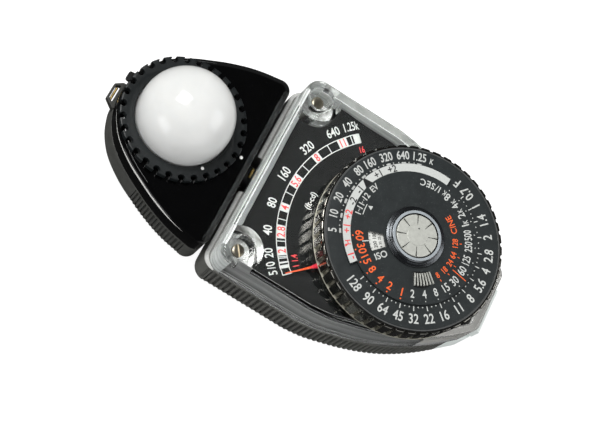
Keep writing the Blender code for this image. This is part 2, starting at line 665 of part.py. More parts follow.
# ---------------------------------------------------------------- light head
HEAD_SCREWS = [(-19.5, 24.2), (19.5, 24.2)]
bm = bmesh.new()
loft(bm, [
    (head_outline(2.9), 0.0),
    (head_outline(1.5), 0.45),
    (head_outline(0.5), 1.6),
    (head_outline(0.0), BACK_R),
    (head_outline(0.0), HEAD_SPLIT),
    (head_outline(WALL), HEAD_SPLIT),
    (head_outline(WALL), BACK_R),
    (head_outline(3.0), FLOOR),
])
head_rear = put("head_rear_shell", bm, SATIN_BLACK, origin=(0.0, HEAD_FOOT, SWIVEL_Z))
neck_cut = bmesh.new()
turn_to_y(cylinder(neck_cut, 3.5, HEAD_FOOT - 1, HEAD_FOOT + 3.5, 24), SWIVEL_Z)
neck_cut = put("head_neck_bore", neck_cut, None, helper=True)
boolean(head_rear, neck_cut)
posts = bmesh.new()
for sx, sy in HEAD_SCREWS:
    cylinder(posts, 2.7, FLOOR - 0.4, HEAD_SPLIT - 0.1, 20, (sx, sy))
for k in range(3):
    a = math.radians(90 + 120 * k)
    cylinder(posts, 1.5, FLOOR - 0.4, 8.7, 16, (8.6 * math.cos(a), HEAD_Y + 8.6 * math.sin(a)))
boolean(head_rear, put("head_posts", posts, None, helper=True), "UNION")
LUG_CUT = (-4.4, 4.4, HEAD_TIP - 4.0, HEAD_TIP + 1.5, 7.0, 9.75 + 0.25)
cuts = bmesh.new()
for sx, sy in HEAD_SCREWS:
    lathe(cuts, [(0, -1), (2.2, -1), (2.2, 1.8), (1.2, 1.8), (1.2, 12), (0, 12)], 18, (sx, sy), 0.13)
box(cuts, *LUG_CUT)
boolean(head_rear, put("head_rear_cuts", cuts, None, helper=True))
head_run = [p for p in HEAD_SIDE]
boolean(head_rear, grooves("head_rib_cutter", head_run, 0.3, 15.6, 4.0, 9.4, 3.2))

bm = bmesh.new()
loft(bm, [
    (head_outline(WALL), HEAD_TOP - 1.8),
    (head_outline(WALL), HEAD_SPLIT + GAP),
    (head_outline(0.0), HEAD_SPLIT + GAP),
    (head_outline(0.0), 15.9),
    (head_outline(0.3), 16.3),
    (head_outline(1.7), HEAD_TOP),
])
head_front = put("head_front_shell", bm, GLOSS_BLACK, origin=(0.0, HEAD_FOOT, SWIVEL_Z))
boolean(head_front, neck_cut)
pads = bmesh.new()
for sx, sy in HEAD_SCREWS:
    cylinder(pads, 2.7, HEAD_SPLIT + GAP + 0.1, HEAD_TOP - 1.0, 20, (sx, sy))
boolean(head_front, put("head_front_posts", pads, None, helper=True), "UNION")
cuts = bmesh.new()
for sx, sy in HEAD_SCREWS:
    cylinder(cuts, 1.0, HEAD_SPLIT - 1, 14.9, 14, (sx, sy), 0.17)
cylinder(cuts, 14.8, 14.0, 19, 48, (0.0, HEAD_Y))
boolean(head_front, put("head_front_cuts", cuts, None, helper=True))
slot = bmesh.new()
box(slot, -6.9, 6.9, HEAD_TIP - 5.5, HEAD_TIP + 1.5, 11.7, 13.2)
boolean(head_front, put("slide_slot", slot, None, helper=True))

slotted_screw("head_screw_left", HEAD_SCREWS[0], 0.35, 1.85, 1.1, 0.7, 13.8, STEEL, up=False, spin=10)
slotted_screw("head_screw_right", HEAD_SCREWS[1], 0.35, 1.85, 1.1, 0.7, 13.8, STEEL, up=False, spin=-50)

H = (0.0, HEAD_Y)
bm = bmesh.new()
lathe(bm, [(0, 9.0), (11.6, 9.0), (11.6, 11.4), (10.9, 11.4), (10.9, 10.3), (0, 10.3)], 32, H)
put("cell_base", bm, SATIN_BLACK, origin=(*H, 0.0))
bm = bmesh.new()
lathe(bm, [(0, 10.6), (10.6, 10.6), (10.6, 11.5), (0, 11.5)], 32, H)
put("photocell", bm, CELL, smooth=True, origin=(*H, 0.0))
bm = bmesh.new()
lathe(bm, [(11.0, 13.5), (15.0, 13.5), (15.0, 14.9), (11.0, 14.9)], 32, H)
put("receptor_seat", bm, SATIN_BLACK, smooth=True, origin=(*H, 0.0))

# Milk-white diffuser: half a hollow sphere on a short wall with a foot flange
bm = bmesh.new()
outer = [(DOME_R * math.cos(math.radians(a)), DOME_Z + DOME_R * math.sin(math.radians(a))) for a in (0, 15, 30, 45, 60, 75)]
r_in = DOME_R - 1.2
inner_arc = [(r_in * math.cos(math.radians(a)), DOME_Z + r_in * math.sin(math.radians(a))) for a in (60, 30, 0)]
lathe(bm, [(14.4, 15.2), (14.4, 16.6), (DOME_R, 16.6)] + outer + [(0, DOME_Z + DOME_R), (0, DOME_Z + r_in)] + inner_arc + [(r_in, 15.2)], 40, H)
put("diffuser_dome", bm, MILK, smooth=True, origin=(*H, 0.0))

def notched(radius):
    """The ring's outline, with a round scallop at each notch, narrower at its mouth."""
    out = []
    for k in range(NOTCHES):
        a = 2 * math.pi * k / NOTCHES + math.radians(1.2)
        for r, t in ((radius, -0.85), (16.2, -0.98), (15.5, -0.6), (15.3, 0.0), (15.5, 0.6), (16.2, 0.98), (radius, 0.85)):
            b = a + t / r
            out.append((H[0] + r * math.cos(b), H[1] + r * math.sin(b)))
    return out


bm = bmesh.new()
loft(bm, [(notched(BAY_R), HEAD_TOP + GAP), (notched(BAY_R), 19.0)])
bay = put("bayonet_ring", bm, BAYONET, origin=(*H, 0.0))
lip = bmesh.new()
cylinder(lip, 14.5, HEAD_TOP - 0.1, 18.0, 40, H)
boolean(bay, put("bayonet_lip", lip, None, helper=True), "UNION")
cuts = bmesh.new()
lathe(cuts, [(0, 15), (13.05, 15), (13.05, 18.5), (13.45, 19.2), (13.45, 20), (0, 20)], 40, H)
boolean(bay, put("bayonet_bore", cuts, None, helper=True))

# ---------------------------------------------------------------- swivel neck
bm = bmesh.new()
prism(bm, filleted([(-5.25, -3.4, 0.8), (5.25, -3.4, 0.8), (5.25, 5.2, 0.8), (-5.25, 5.2, 0.8)], 3), 11.3, 14.1)
collar = put("neck_collar", turn_to_y(bm, SWIVEL_Z), SATIN_BLACK)
bore = bmesh.new()
turn_to_y(cylinder(bore, 3.25, 10.0, 18.0, 24), SWIVEL_Z)
boolean(collar, put("collar_bore", bore, None, helper=True))

bm = bmesh.new()
lathe(bm, [(1.9, 9.7), (3.15, 9.7), (3.15, 19.8), (4.6, 19.8), (4.6, 20.8), (1.9, 20.8)], 24)
put("swivel_tube", turn_to_y(bm, SWIVEL_Z), BRASS, smooth=True, origin=(0.0, HEAD_FOOT, SWIVEL_Z))
bm = bmesh.new()
lathe(bm, [(3.45, 16.9), (4.5, 16.9), (4.5, 17.4), (3.45, 17.4)], 24)
put("neck_washer", turn_to_y(bm, SWIVEL_Z), BRASS, origin=(0.0, HEAD_FOOT, SWIVEL_Z))
bm = bmesh.new()
lathe(bm, [(3.45, 10.1), (4.7, 10.1), (4.7, 11.0), (3.45, 11.0)], 24)
put("retaining_ring", turn_to_y(bm, SWIVEL_Z), STEEL, origin=(0.0, HEAD_FOOT, SWIVEL_Z))

# ---------------------------------------------------------------- strap lug and attenuator tab on the head
bm = bmesh.new()
outline = [(-4.0, 52.4, 0), (4.1, 52.4, 0), (4.1, 55.7, 0.5), (2.7, 58.0, 0.7), (-2.2, 58.0, 0.7), (-4.1, 55.2, 0.5)]
prism(bm, filleted(outline, 3), 7.3, 9.7)
lug = put("strap_lug", bm, SATIN_BLACK)
cuts = bmesh.new()
prism(cuts, [(-2.9, 55.7), (2.95, 55.7), (2.2, 57.3), (-1.9, 57.3)], 6.0, 11.0)
boolean(lug, put("lug_slot", cuts, None, helper=True))
bm = bmesh.new()
pin = lathe(bm, [(0, -1.95), (0.36, -1.95), (0.36, 2.05), (0, 2.05)], 12)
for v in pin.verts:
    x, y, z = v.co
    v.co = Vector((z, 56.6 + x, 8.5 + y))
put("strap_pin", bm, BRASS, smooth=True)

# Perforated attenuator plate that pulls out of the tip of the head by its tab
bm = bmesh.new()
prism(bm, filleted([(-6.5, 27.0, 2.0), (6.5, 27.0, 2.0), (6.5, 53.3, 0), (6.2, 56.0, 0.6), (3.7, 56.0, 0.6), (3.4, 53.9, 0), (-6.2, 53.3, 0)], 3), 12.0, 12.9)
slide = put("high_slide", bm, STEEL)
cuts = bmesh.new()
for row in range(-2, 3):
    for col in range(-2, 3):
        if abs(row) + abs(col) < 4:
            cylinder(cuts, 0.7, 11.0, 14.0, 8, (2.3 * col, HEAD_Y + 2.3 * row), 0.2)
boolean(slide, put("slide_holes", cuts, None, helper=True))
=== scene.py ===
import math

import bmesh
import bpy
from mathutils import Matrix, Vector


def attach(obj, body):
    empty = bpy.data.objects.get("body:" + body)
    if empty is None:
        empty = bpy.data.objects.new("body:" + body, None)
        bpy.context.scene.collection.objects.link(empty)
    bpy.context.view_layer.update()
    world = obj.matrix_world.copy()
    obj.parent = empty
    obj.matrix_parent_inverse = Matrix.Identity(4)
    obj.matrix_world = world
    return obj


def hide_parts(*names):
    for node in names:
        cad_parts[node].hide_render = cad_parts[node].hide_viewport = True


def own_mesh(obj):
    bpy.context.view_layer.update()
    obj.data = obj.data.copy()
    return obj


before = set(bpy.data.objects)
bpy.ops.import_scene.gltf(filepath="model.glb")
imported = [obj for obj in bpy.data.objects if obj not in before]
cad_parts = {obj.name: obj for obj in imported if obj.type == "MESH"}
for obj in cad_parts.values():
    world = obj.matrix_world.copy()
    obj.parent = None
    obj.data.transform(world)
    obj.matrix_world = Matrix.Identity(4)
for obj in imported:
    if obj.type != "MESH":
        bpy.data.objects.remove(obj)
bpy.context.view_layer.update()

MM = 0.001

# ---------------------------------------------------------------- dimensions
HALF_W = 29.0
BODY_END = 15.8      # finished edges; the plain solids stop just short of them
COVER_END = 14.5
TAIL = -58.0
CASE_TOP = 12.0
COVER_BOT = 12.3
COVER_TOP = 23.5
WALL = 1.8
FLOOR = 1.6
BACK_R = 3.4
GAP = 0.3
D = (0.0, -27.2)     # dial axis
P = (0.0, -25.9)     # needle axis
H = (0.0, 38.1)      # diffuser axis
HEAD_FOOT = 16.9
HEAD_SPLIT = 10.0
HEAD_TOP = 17.0
SWIVEL_Z = 8.5
PLATE_TOP = 18.0
FACE_TOP = 30.8
DISC_TOP = 31.6
RIB_PITCH = 1.45
SCREWS = [(-24.0, 9.7), (24.0, 9.7)]
TAIL_SCREW = (0.0, -52.9)
HEAD_SCREWS = [(-19.5, 24.2), (19.5, 24.2)]
BODY_KEYS = [(10.2, -54.0), (14.3, -49.4), (17.8, -44.7), (20.9, -39.7), (23.4, -34.5), (25.4, -29.2), (27.05, -23.6), (28.35, -18.4), (29.0, -13.0)]
HEAD_KEYS = [(26.1, 21.4), (25.35, 25.45), (24.4, 29.0), (23.2, 32.3), (21.8, 35.6), (20.3, 38.6), (17.35, 44.0), (13.3, 49.3), (8.7, 52.8), (4.6, 54.5)]


# ---------------------------------------------------------------- materials
def nodes_of(name):
    made = bpy.data.materials.new(name)
    made.use_nodes = True
    tree = made.node_tree
    return made, tree, tree.nodes["Principled BSDF"]


def noise(tree, coords, scale, detail=3.0, rough=0.55, stretch=None):
    source = coords
    if stretch:
        mapping = tree.nodes.new("ShaderNodeMapping")
        mapping.inputs["Scale"].default_value = stretch
        tree.links.new(coords, mapping.inputs["Vector"])
        source = mapping.outputs["Vector"]
    made = tree.nodes.new("ShaderNodeTexNoise")
    made.inputs["Scale"].default_value = scale
    made.inputs["Detail"].default_value = detail
    made.inputs["Roughness"].default_value = rough
    tree.links.new(source, made.inputs["Vector"])
    return made.outputs["Fac"]


def ranged(tree, value, low, high, out_low, out_high):
    made = tree.nodes.new("ShaderNodeMapRange")
    made.inputs["From Min"].default_value = low
    made.inputs["From Max"].default_value = high
    made.inputs["To Min"].default_value = out_low
    made.inputs["To Max"].default_value = out_high
    tree.links.new(value, made.inputs["Value"])
    return made.outputs["Result"]


def mixed(tree, factor, a, b):
    made = tree.nodes.new("ShaderNodeMix")
    made.data_type = "RGBA"
    tree.links.new(factor, made.inputs["Factor"])
    for value, socket in ((a, made.inputs[6]), (b, made.inputs[7])):
        if isinstance(value, tuple):
            socket.default_value = (*value, 1.0)
        else:
            tree.links.new(value, socket)
    return made.outputs[2]


def surface(name, colour, rough, metallic=0.0, shade=0.15, mottle=600.0, grain=0.0, grain_scale=9000.0,
            rough_vary=0.05, coat=0.0, coat_rough=0.04, specular=0.5, stretch=None, specks=None, second=None):
    """A procedural finish: slow colour variation, varied roughness, fine relief and optional specks."""
    made, tree, shader = nodes_of(name)
    coords = tree.nodes.new("ShaderNodeTexCoord").outputs["Object"]
    slow = ranged(tree, noise(tree, coords, mottle, 4.0, 0.6, stretch), 0.32, 0.68, 0.0, 1.0)
    low = tuple(c * (1 - shade) for c in colour)
    high = tuple(min(1.0, c * (1 + shade)) for c in (second or colour))
    tint = mixed(tree, slow, low, high)
    if specks:
        spot_scale, spot_level, spot_colour = specks
        spots = ranged(tree, noise(tree, coords, spot_scale, 1.0, 0.4), spot_level, spot_level + 0.05, 0.0, 1.0)
        tint = mixed(tree, spots, tint, spot_colour)
    tree.links.new(tint, shader.inputs["Base Color"])
    wear = ranged(tree, noise(tree, coords, mottle * 2.7, 4.0, 0.7, stretch), 0.3, 0.7, max(0.01, rough - rough_vary), rough + rough_vary)
    tree.links.new(wear, shader.inputs["Roughness"])
    shader.inputs["Metallic"].default_value = metallic
    shader.inputs["Specular IOR Level"].default_value = specular
    if coat:
        shader.inputs["Coat Weight"].default_value = coat
        shader.inputs["Coat Roughness"].default_value = coat_rough
    if grain:
        bump = tree.nodes.new("ShaderNodeBump")
        bump.inputs["Strength"].default_value = 1.0
        bump.inputs["Distance"].default_value = grain * MM
        tree.links.new(noise(tree, coords, grain_scale, 3.0, 0.6, stretch), bump.inputs["Height"])
        tree.links.new(bump.outputs["Normal"], shader.inputs["Normal"])
    return made


def painted_light_bands(name, stops, rough, shade=0.25, streak=1300.0):
    """Painted light for a moulded clear wall: level bands of painted light and shade up its height, broken by long fine
    streaks, standing in for the light seen through the wall's own thickness.
    """
    made, tree, shader = nodes_of(name)
    coords = tree.nodes.new("ShaderNodeTexCoord").outputs["Object"]
    split = tree.nodes.new("ShaderNodeSeparateXYZ")
    tree.links.new(coords, split.inputs["Vector"])
    low, high = stops[0][0], stops[-1][0]
    drift = ranged(tree, noise(tree, coords, 60.0, 2.0, 0.5), 0.3, 0.7, -0.25 * MM, 0.25 * MM)
    lifted = tree.nodes.new("ShaderNodeMath")
    tree.links.new(split.outputs["Z"], lifted.inputs[0])
    tree.links.new(drift, lifted.inputs[1])
    ramp = tree.nodes.new("ShaderNodeValToRGB")
    tree.links.new(ranged(tree, lifted.outputs["Value"], low * MM, high * MM, 0.0, 1.0), ramp.inputs["Fac"])
    marks = ramp.color_ramp.elements
    while len(marks) < len(stops):
        marks.new(0.5)
    for mark, (z, tone) in zip(marks, stops):
        mark.position = (z - low) / (high - low)
    for mark, (z, tone) in zip(marks, stops):
        mark.color = (*tone, 1.0)
    fine = ranged(tree, noise(tree, coords, streak, 4.0, 0.65, (0.02, 0.02, 1.0)), 0.35, 0.65, 0.0, 1.0)
    dark = tree.nodes.new("ShaderNodeMix")
    dark.data_type = "RGBA"
    dark.blend_type = "MULTIPLY"
    dark.inputs["Factor"].default_value = 1.0
    tree.links.new(ramp.outputs["Color"], dark.inputs[6])
    tree.links.new(mixed(tree, fine, (1 - shade,) * 3, (1.0, 1.0, 1.0)), dark.inputs[7])
    tree.links.new(dark.outputs[2], shader.inputs["Base Color"])
    tree.links.new(ranged(tree, noise(tree, coords, 2000.0), 0.3, 0.7, rough - 0.03, rough + 0.03), shader.inputs["Roughness"])
    return made


def grey(v, tint=1.03):
    return (v, min(1.0, v * tint), min(1.0, v * (1 + (tint - 1) * 0.6)))


def clear_plastic(name, colour, rough):
    made, tree, shader = nodes_of(name)
    coords = tree.nodes.new("ShaderNodeTexCoord").outputs["Object"]
    shader.inputs["Base Color"].default_value = (*colour, 1.0)
    shader.inputs["Transmission Weight"].default_value = 1.0
    shader.inputs["IOR"].default_value = 1.49
    tree.links.new(ranged(tree, noise(tree, coords, 900.0, 4.0, 0.7), 0.35, 0.75, rough, rough + 0.003), shader.inputs["Roughness"])
    path = tree.nodes.new("ShaderNodeLightPath")
    through = tree.nodes.new("ShaderNodeBsdfTransparent")
    through.inputs["Color"].default_value = (0.93, 0.95, 0.94, 1.0)
    mix = tree.nodes.new("ShaderNodeMixShader")
    tree.links.new(path.outputs["Is Shadow Ray"], mix.inputs["Fac"])
    tree.links.new(shader.outputs["BSDF"], mix.inputs[1])
    tree.links.new(through.outputs["BSDF"], mix.inputs[2])
    tree.links.new(mix.outputs["Shader"], tree.nodes["Material Output"].inputs["Surface"])
    return made


def milk_plastic(name):
    made, tree, shader = nodes_of(name)
    coords = tree.nodes.new("ShaderNodeTexCoord").outputs["Object"]
    slow = ranged(tree, noise(tree, coords, 160.0, 3.0, 0.5), 0.35, 0.65, 0.0, 1.0)
    tree.links.new(mixed(tree, slow, (0.67, 0.677, 0.67), (0.695, 0.70, 0.69)), shader.inputs["Base Color"])
    tree.links.new(ranged(tree, noise(tree, coords, 1200.0, 3.0, 0.6), 0.3, 0.7, 0.10, 0.15), shader.inputs["Roughness"])
    shader.inputs["Subsurface Weight"].default_value = 0.5
    shader.inputs["Subsurface Radius"].default_value = (1.0, 0.95, 0.9)
    shader.inputs["Subsurface Scale"].default_value = 0.0025
    shader.inputs["IOR"].default_value = 1.49
    return made


def needle_paint(name):
    """Orange towards the point and pinkish red on the arrow head nearer the pivot."""
    made, tree, shader = nodes_of(name)
    coords = tree.nodes.new("ShaderNodeTexCoord").outputs["Object"]
    away = tree.nodes.new("ShaderNodeVectorMath")
    away.operation = "DISTANCE"
    flat = tree.nodes.new("ShaderNodeVectorMath")
    flat.operation = "MULTIPLY"
    flat.inputs[1].default_value = (1.0, 1.0, 0.0)
    tree.links.new(coords, flat.inputs[0])
    tree.links.new(flat.outputs["Vector"], away.inputs[0])
    away.inputs[1].default_value = (P[0] * MM, P[1] * MM, 0.0)
    part = ranged(tree, away.outputs["Value"], 24.2 * MM, 24.4 * MM, 0.0, 1.0)
    slow = ranged(tree, noise(tree, coords, 1500.0), 0.35, 0.65, 0.0, 1.0)
    red = mixed(tree, slow, (0.86, 0.022, 0.05), (0.95, 0.035, 0.07))
    orange = mixed(tree, slow, (1.0, 0.085, 0.012), (1.0, 0.12, 0.022))
    tree.links.new(mixed(tree, part, red, orange), shader.inputs["Base Color"])
    tree.links.new(ranged(tree, noise(tree, coords, 4000.0), 0.3, 0.7, 0.4, 0.5), shader.inputs["Roughness"])
    return made


SATIN_BLACK = surface("satin_black", (0.034, 0.034, 0.030), 0.40, grain=0.006, grain_scale=16000.0, shade=0.2, mottle=400.0, second=(0.039, 0.039, 0.035))
CASE_SATIN = surface("case_satin", (0.118, 0.119, 0.110), 0.42, grain=0.006, grain_scale=16000.0, shade=0.16, mottle=400.0)
GLOSS_BLACK = surface("gloss_black", (0.0012, 0.0012, 0.0013), 0.07, shade=0.15, mottle=250.0, rough_vary=0.015)
RING_BLACK = surface("ring_black", (0.21, 0.205, 0.185), 0.19, metallic=1.0, shade=0.08, mottle=300.0, rough_vary=0.01)
# painted highlight: a cream band standing in for the bright reflection along the ring's lower edge
RIM_PAINTED_HIGHLIGHT = surface("ring_rim_painted_highlight", (0.62, 0.60, 0.50), 0.3, metallic=0.4, shade=0.12, mottle=500.0, rough_vary=0.03)
GASKET = surface("gasket_grey", (0.33, 0.335, 0.325), 0.5, shade=0.18, mottle=260.0, grain=0.004, grain_scale=9000.0)
# painted highlight: a grey tone for thin bright edge lines
GREY_LINE_PAINTED_HIGHLIGHT = surface("grey_line_painted_highlight", (0.07, 0.073, 0.073), 0.35, shade=0.1, mottle=300.0)
# painted highlight: a silver tone standing in for the bright reflection on the head's bevel
PAINTED_EDGE_HIGHLIGHT = surface("painted_edge_highlight", (0.80, 0.80, 0.78), 0.3, metallic=0.1, shade=0.08, mottle=300.0, rough_vary=0.03)
TAB_BLACK = surface("tab_black", (0.010, 0.010, 0.010), 0.3, shade=0.2, mottle=500.0, rough_vary=0.05)
BLACKENED = surface("blackened_metal", (0.020, 0.020, 0.020), 0.33, metallic=0.5, shade=0.2, mottle=700.0, rough_vary=0.06)
# painted light and shade: these banded tones stand in for light passing through the clear cover's walls
WALL_PAINTED_LIGHT = painted_light_bands("wall_painted_light_bands", ((12.4, grey(0.95)), (12.9, grey(0.55)), (13.4, grey(0.92)), (14.3, grey(0.62)), (14.8, grey(0.95)), (16.2, grey(0.80)), (17.0, grey(0.98)), (18.4, grey(0.70)), (19.2, grey(0.95)), (20.4, grey(0.80)), (21.4, grey(0.98))), 0.4)
SIDE_PAINTED_LIGHT = painted_light_bands("side_painted_light_bands", ((12.4, grey(0.90, 1.0)), (12.75, grey(0.85, 1.0)), (13.0, grey(0.10, 1.0)), (13.5, grey(0.12, 1.0)), (13.8, grey(0.70, 1.0)), (14.1, grey(0.55, 1.0)), (14.5, grey(0.16, 1.0)), (15.6, grey(0.30, 1.0)), (17.5, grey(0.42, 1.0)), (19.5, grey(0.30, 1.0)), (21.4, grey(0.50, 1.0))), 0.4, 0.3)
TAIL_PAINTED_LIGHT = painted_light_bands("tail_painted_light_bands", ((12.4, grey(0.95, 1.0)), (12.9, grey(0.35, 1.0)), (13.4, grey(0.90, 1.0)), (14.2, grey(0.55, 1.0)), (15.0, grey(0.90, 1.0)), (17.0, (0.84, 0.82, 0.79)), (20.2, (0.84, 0.82, 0.79))), 0.45, 0.15)
BEZEL_DARK = surface("bezel_dark", (0.15, 0.16, 0.17), 0.24, metallic=1.0, shade=0.08, mottle=400.0, rough_vary=0.02)
HEAD_SATIN = surface("head_satin", (0.070, 0.071, 0.066), 0.42, grain=0.006, grain_scale=16000.0, shade=0.16, mottle=400.0)
# painted light: a pale grey standing in for light seen through the clear flange at the body end
LEDGE_PAINTED_LIGHT = surface("ledge_painted_light", (0.47, 0.475, 0.465), 0.5, shade=0.16, mottle=2300.0, stretch=(1.0, 0.5, 1.0), rough_vary=0.03)
TAIL_PALE = surface("tail_pale", (0.74, 0.72, 0.69), 0.5, shade=0.06, mottle=300.0, rough_vary=0.03)
# painted reflection: a light blue-grey standing in for the bright reflection on the bezel's chrome edge
BEZEL_LIP_PAINTED_REFLECTION = surface("bezel_lip_painted_reflection", (0.40, 0.44, 0.47), 0.28, metallic=0.25, shade=0.08, mottle=400.0, rough_vary=0.02)
# painted light: a pale opaque tone standing in for light seen through clear plastic at the tail
PALE_PAINTED_LIGHT = surface("pale_edge_painted_light", (0.88, 0.94, 0.92), 0.45, shade=0.04, mottle=700.0, grain=0.003, grain_scale=12000.0)
SEAT = surface("seat_silver", (0.84, 0.83, 0.78), 0.38, metallic=0.15, shade=0.62, mottle=760.0, grain=0.004, grain_scale=5000.0)
CLEAR = clear_plastic("clear_cover", (0.98, 0.99, 0.985), 0.012)
PLATE = surface("scale_plate_black", (0.008, 0.0085, 0.0085), 0.7, shade=0.12, mottle=900.0, grain=0.002, grain_scale=22000.0, specular=0.08)
DIAL = surface("dial_charcoal", (0.0225, 0.0265, 0.0275), 0.34, shade=0.14, mottle=300.0, grain=0.004, grain_scale=15000.0, specks=(5200.0, 0.72, (0.11, 0.12, 0.12)))
WHITE = surface("film_disc_white", (0.68, 0.69, 0.66), 0.45, shade=0.05, mottle=900.0, grain=0.003)
CHROME = surface("chrome", (0.62, 0.66, 0.70), 0.24, metallic=1.0, shade=0.06, mottle=300.0, rough_vary=0.015)
BUTTON = surface("button_satin", (0.52, 0.53, 0.49), 0.36, metallic=0.25, shade=0.08, mottle=900.0, grain=0.003, grain_scale=9000.0)
ALUMINIUM = surface("aluminium", (0.60, 0.60, 0.585), 0.33, metallic=1.0, shade=0.08, mottle=700.0, stretch=(1.0, 14.0, 1.0), grain=0.002, grain_scale=6000.0)
BRUSHED = surface("brushed_plate", (0.56, 0.56, 0.55), 0.34, metallic=1.0, shade=0.12, mottle=500.0, stretch=(1.0, 22.0, 1.0), grain=0.003, grain_scale=2500.0)
STEEL = surface("steel", (0.50, 0.51, 0.52), 0.26, metallic=1.0, shade=0.10, mottle=1800.0, grain=0.001)
SCREW_DARK = surface("screw_dark_brass", (0.40, 0.365, 0.29), 0.3, metallic=1.0, shade=0.15, mottle=900.0)
BRASS = surface("brass", (0.66, 0.47, 0.19), 0.28, metallic=1.0, shade=0.12, mottle=1800.0, grain=0.001)
COPPER = surface("copper_wire", (0.62, 0.28, 0.14), 0.35, metallic=1.0, shade=0.15, mottle=900.0, stretch=(1.0, 1.0, 18.0), grain=0.01, grain_scale=1500.0)
MILK = milk_plastic("milk_white")
BOARD = surface("board_green", (0.03, 0.16, 0.07), 0.4, shade=0.2, mottle=1200.0, grain=0.002, coat=0.3)
CELL = surface("photocell_dark", (0.055, 0.045, 0.075), 0.15, shade=0.25, mottle=500.0, coat=1.0)
BAYONET = surface("bayonet_charcoal", (0.0085, 0.0108, 0.0117), 0.38, shade=0.16, mottle=600.0, grain=0.005, grain_scale=14000.0, specular=0.4)
NEEDLE = needle_paint("needle_paint")
INK = {
    "white": surface("ink_white", (0.50, 0.515, 0.50), 0.5, shade=0.06, mottle=2500.0, grain=0.002, grain_scale=20000.0),
    "orange": surface("ink_orange", (0.78, 0.11, 0.018), 0.5, shade=0.08, mottle=2500.0, grain=0.002, grain_scale=20000.0),
    "red": surface("ink_red", (0.72, 0.045, 0.05), 0.5, shade=0.08, mottle=2500.0, grain=0.002, grain_scale=20000.0),
    "black": surface("ink_black", (0.012, 0.012, 0.013), 0.45, shade=0.15, mottle=2500.0, grain=0.002, grain_scale=20000.0),
}
SCALE_INK = {
    "white": surface("scale_white", (0.74, 0.755, 0.74), 0.5, shade=0.06, mottle=2500.0, grain=0.002, grain_scale=20000.0),
    "red": surface("scale_red", (0.90, 0.06, 0.065), 0.5, shade=0.08, mottle=2500.0, grain=0.002, grain_scale=20000.0),
}
DOT_WHITE = surface("index_dot_white", (0.84, 0.85, 0.83), 0.35, shade=0.05, mottle=2500.0)


# ---------------------------------------------------------------- mesh helpers
def dress(obj, material, sharp=32.0, bevel=0.0, segments=2, angle=40.0):
    mesh = obj.data
    mesh.materials.clear()
    mesh.materials.append(material)
    mesh.shade_smooth()
    mesh.set_sharp_from_angle(angle=math.radians(sharp))
    if bevel:
        made = obj.modifiers.new("edge", "BEVEL")
        made.width = bevel * MM
        made.segments = segments
        made.limit_method = "ANGLE"
        made.angle_limit = math.radians(angle)
        made.harden_normals = True
        made.miter_outer = "MITER_ARC"
    return obj


def mesh_object(name, bm):
    bmesh.ops.recalc_face_normals(bm, faces=bm.faces[:])
    for v in bm.verts:
        v.co = v.co * MM
    mesh = bpy.data.meshes.new(name)
    bm.to_mesh(mesh)
    bm.free()
    obj = bpy.data.objects.new(name, mesh)
    bpy.context.scene.collection.objects.link(obj)
    return obj


def carve(obj, cutter, operation="DIFFERENCE"):
    """Cuts, joins or trims with another shape at once, so that nothing is left over."""
    helper = mesh_object(obj.name + "_tool", cutter)
    made = obj.modifiers.new("carve", "BOOLEAN")
    made.operation = operation
    made.solver = "EXACT"
    made.object = helper
    graph = bpy.context.evaluated_depsgraph_get()
    fresh = bpy.data.meshes.new_from_object(obj.evaluated_get(graph))
    obj.modifiers.remove(made)
    old = obj.data
    obj.data = fresh
    bpy.data.meshes.remove(old)
    used = helper.data
    bpy.data.objects.remove(helper)
    bpy.data.meshes.remove(used)
    return obj


def piece(name, bm, material, body, replaces=(), sharp=32.0, bevel=0.0, segments=2, angle=40.0, cuts=()):
    obj = mesh_object(name, bm)
    for operation, cutter in cuts:
        carve(obj, cutter, operation)
    dress(obj, material, sharp, bevel, segments, angle)
    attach(obj, body)
    if replaces:
        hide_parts(*replaces)
    return obj


def keep(node, material, sharp=None, bevel=0.0, segments=2):
    """A CAD node whose shape is right: a better finish, and a rounded edge if asked for."""
    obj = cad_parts[node]
    if obj.material_slots:
        for entry in obj.material_slots:
            entry.material = material
    else:
        obj.data.materials.append(material)
    if bevel:
        made = obj.modifiers.new("edge", "BEVEL")
        made.width = bevel * MM
        made.segments = segments
        made.limit_method = "ANGLE"
        made.angle_limit = math.radians(40)
    return obj


def skin(bm, loops, closed_ends=True):
    rings = [[bm.verts.new(p) for p in loop] for loop in loops]
    for low, high in zip(rings, rings[1:]):
        n = len(low)
        for i in range(n):
            bm.faces.new((low[i], low[(i + 1) % n], high[(i + 1) % n], high[i]))
    if closed_ends:
        bm.faces.new(list(reversed(rings[0])))
        bm.faces.new(rings[-1])
    return bm


def loft(bm, loops):
    return skin(bm, [[(x, y, z) for x, y in pts] for pts, z in loops])


def prism(bm, pts, z0, z1):
    return loft(bm, [(pts, z0), (pts, z1)])


def box(bm, x0, x1, y0, y1, z0, z1):
    return prism(bm, [(x0, y0), (x1, y0), (x1, y1), (x0, y1)], z0, z1)


def lathe(bm, profile, segments, centre=(0.0, 0.0), start=0.0):
    rings = []
    for r, z in profile:
        if r < 1e-6:
            rings.append([bm.verts.new((centre[0], centre[1], z))])
        else:
            rings.append([
                bm.verts.new((centre[0] + r * math.cos(start + 2 * math.pi * i / segments), centre[1] + r * math.sin(start + 2 * math.pi * i / segments), z))
                for i in range(segments)
            ])
    for a, b in zip(rings, rings[1:] + rings[:1]):
        for i in range(segments):
            j = (i + 1) % segments
            if len(a) == 1 and len(b) == 1:
                break
            if len(a) == 1:
                bm.faces.new((a[0], b[i], b[j]))
            elif len(b) == 1:
                bm.faces.new((a[i], a[j], b[0]))
            else:
                bm.faces.new((a[i], a[j], b[j], b[i]))
    return bm


def cylinder(bm, r, z0, z1, segments=64, centre=(0.0, 0.0), start=0.0):
    return lathe(bm, [(0, z0), (r, z0), (r, z1), (0, z1)], segments, centre, start)


def turn_to_y(bm, height):
    for v in bm.verts:
        x, y, z = v.co
        v.co = Vector((x, z, height - y))
    return bm


